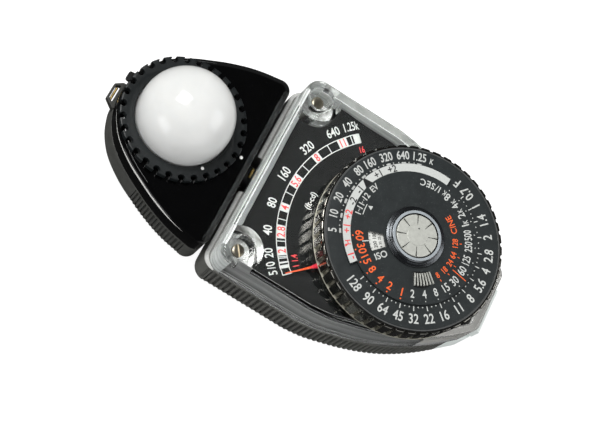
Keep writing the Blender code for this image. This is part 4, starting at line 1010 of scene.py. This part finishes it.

# Silvery seats under the corner bosses
for side, centre in (("left", SCREWS[0]), ("right", SCREWS[1])):
    limit = skin(bmesh.new(), [cover_line.ring(cover_stations, 0.5, COVER_BOT - 1), cover_line.ring(cover_stations, 0.5, COVER_BOT + 1)])
    piece("boss_seat_%s" % side, cylinder(bmesh.new(), 5.6, 12.02, 12.29, 96, centre), SEAT, "case",
          cuts=(("INTERSECT", limit), ("DIFFERENCE", cylinder(bmesh.new(), 1.35, 11, 14, 40, centre, 0.1))))


# ---------------------------------------------------------------- screws
def screw(name, node, centre, z_top, head_r, head_h, shank_r, z_end, material, body, up=True, spin=0.0):
    d = 1.0 if up else -1.0
    bm = bmesh.new()
    lathe(bm, [
        (0, z_top), (head_r * 0.55, z_top - d * 0.02), (head_r - 0.3, z_top - d * 0.07), (head_r - 0.1, z_top - d * 0.17), (head_r, z_top - d * 0.32), (head_r, z_top - d * head_h),
        (shank_r, z_top - d * head_h), (shank_r, z_end), (0, z_end),
    ], 48, centre)
    low, high = sorted((z_top - d * head_h * 0.5, z_top + d * 1.0))
    turn = math.radians(spin)
    slot = bmesh.new()
    prism(slot, [
        (centre[0] + a * math.cos(turn) - b * math.sin(turn), centre[1] + a * math.sin(turn) + b * math.cos(turn)) for a, b in [(-4, -0.28), (4, -0.28), (4, 0.28), (-4, 0.28)]
    ], low, high)
    return piece(name, bm, material, body, (node,), cuts=(("DIFFERENCE", slot),))


screw("cover_screw_left_head", "cover_screw_left", SCREWS[0], 20.3, 1.7, 1.1, 0.9, 6.0, SCREW_DARK, "case", spin=35)
screw("cover_screw_right_head", "cover_screw_right", SCREWS[1], 20.3, 1.7, 1.1, 0.9, 6.0, SCREW_DARK, "case", spin=-20)
screw("tail_screw_head", "tail_screw", TAIL_SCREW, 0.35, 1.85, 1.1, 0.7, 17.5, STEEL, "case", up=False, spin=60)
screw("zero_screw_head", "zero_screw", P, 0.3, 1.75, 1.1, 1.0, 1.58, BRASS, "zero_adjuster", up=False, spin=15)
screw("head_screw_left_head", "head_screw_left", HEAD_SCREWS[0], 0.35, 1.85, 1.1, 0.7, 13.8, STEEL, "head", up=False, spin=10)
screw("head_screw_right_head", "head_screw_right", HEAD_SCREWS[1], 0.35, 1.85, 1.1, 0.7, 13.8, STEEL, "head", up=False, spin=-50)

# ---------------------------------------------------------------- scale plate, movement, back plate
def plate_outline():
    side = []
    source = body_half(-53.0, 12.2)
    for s in plain_stations(source, 0.8):
        p, n = source.at(s)
        q = p - n * 2.2
        if -46.4 < q.y < 9.6 and q.x > 12.0:
            side.append((q.x, q.y))
    (x0, y0), (x1, y1) = side[0], side[1]
    foot = x0 + (x1 - x0) * (-49.6 - y0) / (y1 - y0)
    keys = [(foot, -49.6, 1.0)] + [(x, y, 0) for x, y in side] + [(26.8, 11.6, 0.8)]
    keys += [(-x, y, r) for x, y, r in reversed(keys)]
    return filleted(keys, 6)


cuts = bmesh.new()
for sx, sy in SCREWS:
    cylinder(cuts, 6.3, 10, 25, 96, (sx, sy))
cylinder(cuts, 1.8, 10, 25, 48, P)
piece("scale_plate_face", prism(bmesh.new(), plate_outline(), PLATE_TOP - 1.0, PLATE_TOP), PLATE, "case", ("scale_plate",), bevel=0.06, cuts=(("DIFFERENCE", cuts),))

keep("movement_frame", ALUMINIUM, bevel=0.12)
keep("magnet_yoke", STEEL)
keep("magnet_core", STEEL)
keep("moving_coil", COPPER)
keep("pivot_staff", STEEL)
keep("hairspring", BRASS)
keep("needle", NEEDLE)
keep("terminal_board", BOARD)
keep("dial_hub", ALUMINIUM)
keep("cell_base", SATIN_BLACK)
keep("photocell", CELL)
keep("receptor_seat", SATIN_BLACK)
keep("high_slide", BLACKENED)
keep("retaining_ring", STEEL)
keep("swivel_tube", BLACKENED)
keep("neck_washer", BLACKENED)

cuts = bmesh.new()
cylinder(cuts, 2.5, -1.0, 2.0, 64, P)
piece("back_plate_panel", prism(bmesh.new(), filleted([(-18.7, -41.7, 2.7), (18.7, -41.7, 2.7), (18.7, 7.7, 2.7), (-18.7, 7.7, 2.7)], 12), 0.12, 0.55), BRUSHED, "case", ("back_plate",), bevel=0.1, cuts=(("DIFFERENCE", cuts),))

# ---------------------------------------------------------------- grip ring and dials
TEETH = 48


def toothed(radius, depth, soft):
    """The ring's fluted outline: each tooth a wide flat crown, a slanted and a steep flank, soft at the corners."""
    out = []
    p = 2 * math.pi / TEETH
    keys = ((0.0, 0.0), (0.62, 0.0), (0.71, 1.0), (0.91, 1.0))
    for k in range(TEETH):
        a = p * k
        for (f0, d0), (f1, d1), (f2, d2) in ((keys[3], keys[0], keys[1]), (keys[0], keys[1], keys[2]), (keys[1], keys[2], keys[3]), (keys[2], keys[3], keys[0])):
            before = ((f1 - f0) % 1.0)
            after = ((f2 - f1) % 1.0)
            for t in (-1, 0, 1):
                f = f1 + (t * soft * (before if t < 0 else after) if t else 0.0)
                share = soft
                if t < 0:
                    d = d1 + (d0 - d1) * share
                elif t > 0:
                    d = d1 + (d2 - d1) * share
                else:
                    d = d1 + ((d0 - d1) + (d2 - d1)) * share * 0.42
                out.append((radius - depth * d, a + f * p))
    return [(D[0] + r * math.cos(a), D[1] + r * math.sin(a)) for r, a in out]


ring_bm = bmesh.new()
loft(ring_bm, [
    (toothed(24.86, 0.50, 0.10), 23.9),
    (toothed(25.0, 0.58, 0.10), 24.05),
    (toothed(25.32, 0.60, 0.10), 30.1),
    (toothed(25.35, 0.58, 0.10), 30.3),
    (toothed(25.27, 0.50, 0.10), 30.48),
    (toothed(25.12, 0.34, 0.10), 30.62),
    (toothed(24.95, 0.18, 0.10), 30.7),
])
low_cut = lathe(bmesh.new(), [(0, 22.9), (22.6, 22.9), (22.6, 25.6), (0, 25.6)], 144, D)
high_cut = lathe(bmesh.new(), [(0, 27.2), (22.8, 27.2), (22.8, 29.3), (24.28, 29.3), (24.28, 30.5), (24.4, 30.66), (24.5, 30.72), (24.5, 32), (0, 32)], 192, D)
bore_cut = cylinder(bmesh.new(), 3.8, 24, 28, 48, D)
piece("grip_ring", ring_bm, RING_BLACK, "dial_ring", ("knurled_ring",), sharp=30,
      cuts=(("DIFFERENCE", low_cut), ("DIFFERENCE", high_cut), ("DIFFERENCE", bore_cut)))

# lower rim: painted highlight, a cream band in place of the ring's bright edge reflection
piece("ring_lower_rim", lathe(bmesh.new(), filleted([(24.3, 23.86, 0), (25.02, 23.86, 0.06), (25.1, 24.08, 0.06), (24.3, 24.08, 0)], 3), 192, D), RIM_PAINTED_HIGHLIGHT, "dial_ring", sharp=60)
# inner lip: painted highlight, a grey ring standing in for the bright edge between the dial face and the ring
piece("ring_inner_lip", lathe(bmesh.new(), filleted([(24.1, 30.45, 0), (24.46, 30.45, 0), (24.46, 30.77, 0.05), (24.1, 30.77, 0.05)], 3), 192, D), GREY_LINE_PAINTED_HIGHLIGHT, "dial_ring", sharp=60)
piece("stop_dial", lathe(bmesh.new(), filleted([(17.0, 29.6, 0), (24.05, 29.6, 0), (24.05, FACE_TOP, 0.16), (17.0, FACE_TOP, 0)], 4), 192, D), DIAL, "dial_ring", ("dial_face",))
piece("speed_disc", lathe(bmesh.new(), [(4.9, 27.5), (5.9, 27.5), (5.9, 29.9), (16.7, 29.9), (16.7, 30.7), (4.9, 30.7)], 128, D), WHITE, "film_disc", ("film_disc",))

sector = []
for k in range(240):
    a = -5.5 + 148.8 * k / 103 if k < 104 else 143.3 + 211.2 * (k - 104) / 135
    r = 19.9 if k < 104 else 17.8
    sector.append((D[0] + r * math.cos(math.radians(a)), D[1] + r * math.sin(math.radians(a))))
sleeve = cylinder(bmesh.new(), 4.6, 27.6, 31.3, 64, D)
cuts = bmesh.new()
cylinder(cuts, 3.8, 27, 33, 64, D)
window = [(8.55, 139.5)] + [(8.55, 139.5 - 22.3 * k / 8) for k in range(1, 9)] + [(12.9, 114.8 + 24.0 * k / 10) for k in range(11)]
prism(cuts, [(D[0] + r * math.cos(math.radians(a)), D[1] + r * math.sin(math.radians(a))) for r, a in reversed(window)], 30.9, 33.0)
piece("time_dial", prism(bmesh.new(), sector, 31.1, DISC_TOP), DIAL, "inner_dial", ("inner_dial",), bevel=0.07, cuts=(("UNION", sleeve), ("DIFFERENCE", cuts)))

# Ridged tab that turns the film speed disc
tab = filleted([(D[0] + r * math.cos(math.radians(a)), D[1] + r * math.sin(math.radians(a)), c) for r, a, c in
                ((9.3, -159, 0.4), (13.2, -155.5, 0.4), (13.4, -145.5, 0), (13.2, -135.5, 0.4), (9.6, -130.0, 0.4), (9.3, -144.5, 0))], 5)
piece("speed_tab_plate", prism(bmesh.new(), tab, DISC_TOP + 0.1, 31.95), TAB_BLACK, "inner_dial", bevel=0.05)
bm = bmesh.new()
for k in range(7):
    a = math.radians(-155.4 + 3.95 * k)
    u, w = Vector((math.cos(a), math.sin(a))), Vector((-math.sin(a), math.cos(a)))
    centre = Vector(D)
    top = [centre + u * 9.75 - w * 0.09, centre + u * 12.85 - w * 0.1, centre + u * 12.85 + w * 0.1, centre + u * 9.75 + w * 0.09]
    foot = [centre + u * 9.6 - w * 0.2, centre + u * 13.0 - w * 0.22, centre + u * 13.0 + w * 0.22, centre + u * 9.6 + w * 0.2]
    loft(bm, [([(q.x, q.y) for q in foot], 31.9), ([(q.x, q.y) for q in top], 32.3)])
piece("speed_tab_ridges", bm, BUTTON, "inner_dial", ("speed_tab",), bevel=0.04)

# Stepped chrome bezel round the push button
piece("bezel_ring", lathe(bmesh.new(), filleted([
    (5.95, 31.9, 0), (8.1, 31.9, 0), (8.1, 32.12, 0.1), (7.45, 32.25, 0.05), (7.42, 32.7, 0.12), (7.02, 32.78, 0.05), (6.78, 33.1, 0.14), (5.95, 33.1, 0.08)], 4), 160, D), BEZEL_DARK, "inner_dial", ("bezel",), sharp=60)

# bezel lip: painted reflection, a light ring in place of the chrome edge's reflection
piece("bezel_lip_painted_reflection", lathe(bmesh.new(), filleted([(6.0, 32.9, 0), (6.72, 32.9, 0), (6.72, 33.13, 0.08), (6.0, 33.13, 0.06)], 4), 160, D), BEZEL_LIP_PAINTED_REFLECTION, "inner_dial", sharp=60)

bm = lathe(bmesh.new(), filleted([(0, 26.6, 0), (1.1, 26.6, 0), (1.1, 32.4, 0), (5.65, 32.4, 0), (5.65, 33.12, 0.22), (2.78, 33.12, 0.05), (2.7, 33.3, 0.08), (0, 33.3, 0)], 5), 128, D)
cuts = bmesh.new()
for k in range(8):
    a = math.radians(22.5 + 45 * k)
    u, w = Vector((math.cos(a), math.sin(a))), Vector((-math.sin(a), math.cos(a)))
    c = Vector(D)
    near, far = c + u * 3.0, c + u * 6.2
    a0, a1, a2 = (cuts.verts.new(q) for q in ((*(near + w * 0.2), 33.6), (*(near - w * 0.2), 33.6), (*near, 33.02)))
    b0, b1, b2 = (cuts.verts.new(q) for q in ((*(far + w * 0.75), 33.6), (*(far - w * 0.75), 33.6), (*far, 32.6)))
    cuts.faces.new((a0, a1, a2))
    cuts.faces.new((b0, b2, b1))
    cuts.faces.new((a0, b0, b1, a1))
    cuts.faces.new((a1, b1, b2, a2))
    cuts.faces.new((a2, b2, b0, a0))
piece("button_cap", bm, BUTTON, "button", ("button",), cuts=(("DIFFERENCE", cuts),), bevel=0.04)
piece("button_dot", cylinder(bmesh.new(), 0.2, 33.29, 33.32, 24, (D[0] + 1.86, D[1] + 0.4)), INK["black"], "button")

# Coil spring under the button
SPRING_LOW, SPRING_HIGH, WIRE = 25.83, 32.03, 0.21
coils = []
for k in range(181):
    t = k / 180
    a = 2 * math.pi * 5.0 * t
    middle = Vector((D[0] + 1.9 * math.cos(a), D[1] + 1.9 * math.sin(a), SPRING_LOW + (SPRING_HIGH - SPRING_LOW) * t))
    out = Vector((math.cos(a), math.sin(a), 0.0))
    coils.append([tuple(middle + WIRE * (math.cos(2 * math.pi * j / 10) * out + math.sin(2 * math.pi * j / 10) * Vector((0, 0, 1)))) for j in range(10)])
coil = piece("button_coil", skin(bmesh.new(), coils), STEEL, "case", ("button_spring",), sharp=50)
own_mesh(coil)

# ---------------------------------------------------------------- light head
head_line = head_half()
HEAD_PITCH = 1.18
head_bars = [head_line.nearest(26.1, 21.4) + 0.4 + HEAD_PITCH * k for k in range(16)]
head_low, head_high = head_bars[0] - HEAD_PITCH / 2, head_bars[-1] + HEAD_PITCH / 2
head_recess = ribbed(head_bars, head_low, head_high, 1.2, 9.4, 0.7, 0.8)
head_stations = [s for s in plain_stations(head_line, 0.8) if s < head_low - 0.1 or s > head_high + 0.1]
head_stations += [head_low - 0.04, head_low, head_high, head_high + 0.04]
for c in head_bars:
    head_stations += [c + d * 0.8 for d in BAR_STEPS] + [c + HEAD_PITCH / 2]
head_stations = sorted(set(round(s, 4) for s in head_stations))


def head_inset(z):
    return lambda s: lower_inset(z, 2.9) + head_recess(s, z)


loops = [head_line.ring(head_stations, head_inset(z), z) for z in (0.0, 0.04, 0.14, 0.32, 0.6, 0.9, 1.08, 1.2, 1.28, 1.36, 1.45, 1.55, 1.65, 1.75, 1.95, 2.3, 2.6, 3.0, 3.4, 4.6, 7.0, 9.0, 9.4, 9.52, 9.8)]
loops += [head_line.ring(head_stations, i, z) for i, z in ((0.06, 9.94), (0.18, 10.0), (WALL, 10.0), (WALL, BACK_R), (2.3, 2.2), (3.0, FLOOR))]
neck_cut = turn_to_y(cylinder(bmesh.new(), 3.5, HEAD_FOOT - 1, HEAD_FOOT + 3.5, 64, (0.0, 0.0), 0.03), SWIVEL_Z)
posts = bmesh.new()
for sx, sy in HEAD_SCREWS:
    cylinder(posts, 2.7, FLOOR - 0.4, HEAD_SPLIT - 0.1, 40, (sx, sy))
for k in range(3):
    a = math.radians(90 + 120 * k)
    cylinder(posts, 1.5, FLOOR - 0.4, 8.7, 32, (8.6 * math.cos(a), H[1] + 8.6 * math.sin(a)))
cuts = bmesh.new()
for sx, sy in HEAD_SCREWS:
    lathe(cuts, [(0, -1), (2.2, -1), (2.2, 1.8), (1.2, 1.8), (1.2, 12), (0, 12)], 40, (sx, sy), 0.13)
box(cuts, -4.4, 4.4, 51.2, 56.7, 7.0, 10.25)
piece("head_back_shell", skin(bmesh.new(), loops), HEAD_SATIN, "head", ("head_rear_shell",), sharp=38,
      cuts=(("DIFFERENCE", neck_cut), ("UNION", posts), ("DIFFERENCE", cuts)))

front_stations = plain_stations(head_line, 0.6)
rows = [(WALL, 15.2), (WALL, 10.42), (WALL - 0.12, 10.3), (0.12, 10.3), (0.0, 10.42), (0.0, 15.75), (0.03, 15.93), (0.12, 16.1), (0.26, 16.24), (0.42, 16.33),
        (1.45, 16.86), (1.62, 16.94), (1.8, 16.985), (2.0, 17.0)]
pads = bmesh.new()
for sx, sy in HEAD_SCREWS:
    cylinder(pads, 2.7, 10.4, 16.0, 40, (sx, sy))
cuts = bmesh.new()
for sx, sy in HEAD_SCREWS:
    cylinder(cuts, 1.0, 9, 14.9, 28, (sx, sy), 0.17)
cylinder(cuts, 14.8, 14.0, 19, 160, H)
slot = box(bmesh.new(), -6.9, 6.9, 49.7, 56.7, 11.7, 13.2)
neck_cut = turn_to_y(cylinder(bmesh.new(), 3.5, HEAD_FOOT - 1, HEAD_FOOT + 3.5, 64, (0.0, 0.0), 0.03), SWIVEL_Z)
piece("head_face_shell", skin(bmesh.new(), [head_line.ring(front_stations, i, z) for i, z in rows]), GLOSS_BLACK, "head", ("head_front_shell",), sharp=40,
      cuts=(("DIFFERENCE", neck_cut), ("UNION", pads), ("DIFFERENCE", cuts), ("DIFFERENCE", slot)))

def painted_highlight_line(half, s0, s1, width, inset, z_mid, lift, drop):
    """A thin painted highlight along the outline, tapering to nothing at both ends."""
    bm = bmesh.new()
    rails = []
    steps = 60
    for k in range(steps + 1):
        t = k / steps
        s = s0 + (s1 - s0) * t
        w = width * min(1.0, 4.5 * t + 0.02, 2.2 * (1 - t) + 0.02)
        p, n = half.at(s)
        low_p, high_p = p - n * (inset - lift), p - n * (inset - lift + drop * w)
        deep = n * 0.12
        z0, z1 = z_mid - w / 2, z_mid + w / 2
        rails.append([(low_p.x, low_p.y, z0), (high_p.x, high_p.y, z1), (high_p.x - deep.x, high_p.y - deep.y, z1), (low_p.x - deep.x, low_p.y - deep.y, z0)])
    for sign in (1.0, -1.0):
        rows_of = [[bm.verts.new((sign * x, y, z)) for x, y, z in r] for r in rails]
        for a, b in zip(rows_of, rows_of[1:]):
            for i in range(4):
                bm.faces.new((a[i], a[(i + 1) % 4], b[(i + 1) % 4], b[i]))
        bm.faces.new(rows_of[0])
        bm.faces.new(rows_of[-1])
    return bm


edge_from, edge_to = head_line.nearest(25.7, 23.9), head_line.nearest(6.6, 53.7)
# painted highlight on the head's outer bevel
piece("head_rim_painted_highlight", painted_highlight_line(head_line, edge_from, edge_to, 0.8, 0.0, 15.5, 0.015, 0.0), PAINTED_EDGE_HIGHLIGHT, "head", sharp=60)

# painted highlight on the inner line of the head's bevel
inner_from, inner_to = head_line.nearest(20.6, 38.2), head_line.nearest(12.2, 50.2)
piece("head_inner_painted_highlight", painted_highlight_line(head_line, inner_from, inner_to, 0.06, 0.88, 16.60, 0.0, 2.0), GREY_LINE_PAINTED_HIGHLIGHT, "head", sharp=60)

# White index dots: one on the head, one on the notched ring
piece("head_index_dot", cylinder(bmesh.new(), 0.46, 16.98, 17.03, 32, (0.0, 20.1)), DOT_WHITE, "head")

# ---------------------------------------------------------------- diffuser and its notched ring
outer = [(12.75 * math.cos(math.radians(a)), 21.0 + 12.75 * math.sin(math.radians(a))) for a in range(0, 90, 3)]
inner = [(11.55 * math.cos(math.radians(a)), 21.0 + 11.55 * math.sin(math.radians(a))) for a in range(84, -1, -6)]
piece("diffuser_shell", lathe(bmesh.new(), [(14.4, 15.2), (14.4, 16.6), (12.75, 16.6)] + outer + [(0, 33.75), (0, 32.55)] + inner + [(11.55, 15.2)], 128, H), MILK, "diffuser", ("diffuser_dome",), sharp=50)


def notched(radius, widen=0.0):
    out = []
    for k in range(30):
        a = 2 * math.pi * k / 30 + math.radians(1.2)
        # mouth narrower than the round scallop behind it
        pts = [(radius, -0.72 - widen)]
        for j in range(13):
            t = math.radians(38 + 284 * j / 12)
            pts.append((16.12 + (0.86 + widen) * math.cos(t) * 0.92, -(0.92 + widen) * math.sin(t)))
        pts.append((radius, 0.72 + widen))
        for r, t in pts:
            b = a + t / r
            out.append((H[0] + r * math.cos(b), H[1] + r * math.sin(b)))
        gap = 2 * math.pi / 30
        for j in (1, 2, 3):
            b = a + (0.72 + widen) / radius + (gap - 2 * (0.72 + widen) / radius) * j / 4
            out.append((H[0] + radius * math.cos(b), H[1] + radius * math.sin(b)))
    return out


lip = cylinder(bmesh.new(), 14.5, HEAD_TOP - 0.1, 18.0, 120, H)
bore = lathe(bmesh.new(), [(0, 15), (13.0, 15), (13.0, 18.3), (13.08, 18.6), (13.3, 18.9), (13.55, 19.05), (13.55, 20), (0, 20)], 160, H)
loops = [(notched(16.92), 17.3), (notched(17.0), 17.4), (notched(17.0), 18.82), (notched(16.93, 0.03), 18.94), (notched(16.8, 0.08), 19.0)]
piece("notched_ring", loft(bmesh.new(), loops), BAYONET, "diffuser", ("bayonet_ring",), sharp=32, cuts=(("UNION", lip), ("DIFFERENCE", bore)))
a = math.radians(228.0)
piece("ring_index_dot", cylinder(bmesh.new(), 0.43, 18.98, 19.03, 32, (H[0] + 14.0 * math.cos(a), H[1] + 14.0 * math.sin(a))), DOT_WHITE, "diffuser")

# ---------------------------------------------------------------- neck, lug
bm = prism(bmesh.new(), filleted([(-5.25, -3.4, 0.8), (5.25, -3.4, 0.8), (5.25, 5.2, 0.8), (-5.25, 5.2, 0.8)], 8), 11.3, 14.1)
piece("neck_block", turn_to_y(bm, SWIVEL_Z), SATIN_BLACK, "case", ("neck_collar",), bevel=0.12,
      cuts=(("DIFFERENCE", turn_to_y(cylinder(bmesh.new(), 3.25, 10.0, 18.0, 64), SWIVEL_Z)),))

# Small ribbed brass stop lying in the neck's notch
bm = lathe(bmesh.new(), [(0, -1.35)] + [(0.42 if k % 2 else 0.3, -1.35 + 0.225 * k) for k in range(13)] + [(0, 1.35)], 20)
for v in bm.verts:
    x, y, z = v.co
    v.co = Vector((z - 0.05, 15.2 + x, 12.15 + y))
piece("neck_stop", bm, BRASS, "case")

bm = prism(bmesh.new(), filleted([(-3.9, 52.4, 0), (4.0, 52.4, 0), (4.0, 55.6, 0.5), (2.5, 57.6, 0.7), (-2.0, 57.6, 0.7), (-3.9, 55.1, 0.5)], 6), 7.55, 9.45)
slot = prism(bmesh.new(), filleted([(-2.5, 55.75, 0.2), (2.9, 55.75, 0.2), (2.2, 56.95, 0.3), (-1.7, 56.95, 0.3)], 4), 6.0, 11.0)
piece("cord_lug", bm, SATIN_BLACK, "head", ("strap_lug",), bevel=0.12, cuts=(("DIFFERENCE", slot),))
bm = lathe(bmesh.new(), [(0, -1.95), (0.36, -1.95), (0.36, 2.05), (0, 2.05)], 24)
for v in bm.verts:
    x, y, z = v.co
    v.co = Vector((z, 56.45 + x, 8.5 + y))
piece("cord_pin", bm, BRASS, "head", ("strap_pin",))

# ---------------------------------------------------------------- setting
camera_data = bpy.data.cameras.new("camera")
camera_data.lens = 105.12
camera_data.sensor_width = 36.0
camera_data.sensor_fit = "HORIZONTAL"
camera_data.clip_start = 0.01
camera_data.clip_end = 20.0
camera = bpy.data.objects.new("camera", camera_data)
bpy.context.scene.collection.objects.link(camera)
camera.matrix_world = Matrix((
    (0.42430639, 0.80569315, -0.41330694, -0.19366),
    (-0.83850326, 0.52191234, 0.15658799, 0.06954),
    (0.34187187, 0.28011793, 0.89702707, 0.42131),
    (0.0, 0.0, 0.0, 1.0),
))
bpy.context.scene.camera = camera


def soft_light(name, toward, distance, size, power, colour=(1.0, 1.0, 1.0), size_y=None):
    data = bpy.data.lights.new(name, "AREA")
    data.shape = "RECTANGLE"
    data.size = size
    data.size_y = size_y or size
    data.energy = power
    data.color = colour
    obj = bpy.data.objects.new(name, data)
    bpy.context.scene.collection.objects.link(obj)
    direction = Vector(toward).normalized()
    obj.location = direction * distance + Vector((0.0, -0.002, 0.015))
    obj.rotation_euler = direction.to_track_quat("Z", "Y").to_euler()
    return obj


soft_light("softbox", (0.133, 0.501, 0.855), 0.75, 0.33, 4.5, (1.0, 0.995, 0.98))
soft_light("left_card", (-0.81, 0.58, 0.06), 0.8, 0.45, 1.8, size_y=0.5)
soft_light("low_fill", (-0.72, -0.66, 0.22), 0.9, 0.7, 0.9, size_y=0.5)
soft_light("tail_card", (0.2, -0.85, 0.48), 0.75, 0.5, 1.55, size_y=0.4)

world = bpy.data.worlds.new("studio")
bpy.context.scene.world = world
world.use_nodes = True
tree = world.node_tree
background = tree.nodes["Background"]
coords = tree.nodes.new("ShaderNodeTexCoord").outputs["Generated"]
split = tree.nodes.new("ShaderNodeSeparateXYZ")
tree.links.new(coords, split.inputs["Vector"])
ramp = tree.nodes.new("ShaderNodeValToRGB")
tree.links.new(split.outputs["Z"], ramp.inputs["Fac"])
ramp.color_ramp.elements[0].position = 0.0
ramp.color_ramp.elements[0].color = (0.20, 0.203, 0.206, 1.0)
ramp.color_ramp.elements[1].position = 0.62
ramp.color_ramp.elements[1].color = (0.035, 0.036, 0.038, 1.0)
path = tree.nodes.new("ShaderNodeLightPath")
sky = tree.nodes.new("ShaderNodeBackground")
sky.inputs["Color"].default_value = (0.93, 0.93, 0.93, 1.0)
mix = tree.nodes.new("ShaderNodeMixShader")
tree.links.new(ramp.outputs["Color"], background.inputs["Color"])
# seen directly or through clear parts the room is white; matt surfaces get an even fill, glossy ones a dim room
seen = tree.nodes.new("ShaderNodeMath")
seen.operation = "MAXIMUM"
tree.links.new(path.outputs["Is Camera Ray"], seen.inputs[0])
tree.links.new(path.outputs["Is Transmission Ray"], seen.inputs[1])
fill = tree.nodes.new("ShaderNodeBackground")
fill.inputs["Color"].default_value = (0.58, 0.58, 0.575, 1.0)
soft = tree.nodes.new("ShaderNodeMixShader")
tree.links.new(path.outputs["Is Diffuse Ray"], soft.inputs["Fac"])
tree.links.new(background.outputs["Background"], soft.inputs[1])
tree.links.new(fill.outputs["Background"], soft.inputs[2])
tree.links.new(seen.outputs["Value"], mix.inputs["Fac"])
tree.links.new(soft.outputs["Shader"], mix.inputs[1])
tree.links.new(sky.outputs["Background"], mix.inputs[2])
# overhead, what clear parts pass or reflect is dimmer than the pale surroundings low down
above = ranged(tree, split.outputs["Z"], 0.1, 0.35, 0.93, 0.38)
shown = tree.nodes.new("ShaderNodeMix")
shown.data_type = "FLOAT"
tree.links.new(path.outputs["Is Camera Ray"], shown.inputs[0])
tree.links.new(above, shown.inputs[2])
shown.inputs[3].default_value = 0.93
tree.links.new(shown.outputs[0], sky.inputs["Color"])
tree.links.new(mix.outputs["Shader"], tree.nodes["World Output"].inputs["Surface"])

floor_bm = bmesh.new()
box(floor_bm, -4000, 4000, -4000, 4000, -30.0, -0.02)
floor = mesh_object("floor", floor_bm)
made, tree, shader = nodes_of("floor_paper")
coords = tree.nodes.new("ShaderNodeTexCoord").outputs["Object"]
tree.links.new(mixed(tree, noise(tree, coords, 14.0, 3.0), (0.24, 0.24, 0.24), (0.26, 0.26, 0.26)), shader.inputs["Base Color"])
shader.inputs["Roughness"].default_value = 0.8
path = tree.nodes.new("ShaderNodeLightPath")
seen = tree.nodes.new("ShaderNodeMath")
seen.operation = "MAXIMUM"
tree.links.new(path.outputs["Is Camera Ray"], seen.inputs[0])
tree.links.new(path.outputs["Is Transmission Ray"], seen.inputs[1])
glow = tree.nodes.new("ShaderNodeEmission")
tree.links.new(ranged(tree, seen.outputs["Value"], 0.0, 1.0, 0.2, 0.92), glow.inputs["Strength"])
both = tree.nodes.new("ShaderNodeAddShader")
tree.links.new(shader.outputs["BSDF"], both.inputs[0])
tree.links.new(glow.outputs["Emission"], both.inputs[1])
dim = tree.nodes.new("ShaderNodeEmission")
dim.inputs["Strength"].default_value = 0.03
mix = tree.nodes.new("ShaderNodeMixShader")
tree.links.new(path.outputs["Is Glossy Ray"], mix.inputs["Fac"])
tree.links.new(both.outputs["Shader"], mix.inputs[1])
tree.links.new(dim.outputs["Emission"], mix.inputs[2])
tree.links.new(mix.outputs["Shader"], tree.nodes["Material Output"].inputs["Surface"])
floor.data.materials.append(made)

bpy.context.scene.view_settings.view_transform = "Standard"
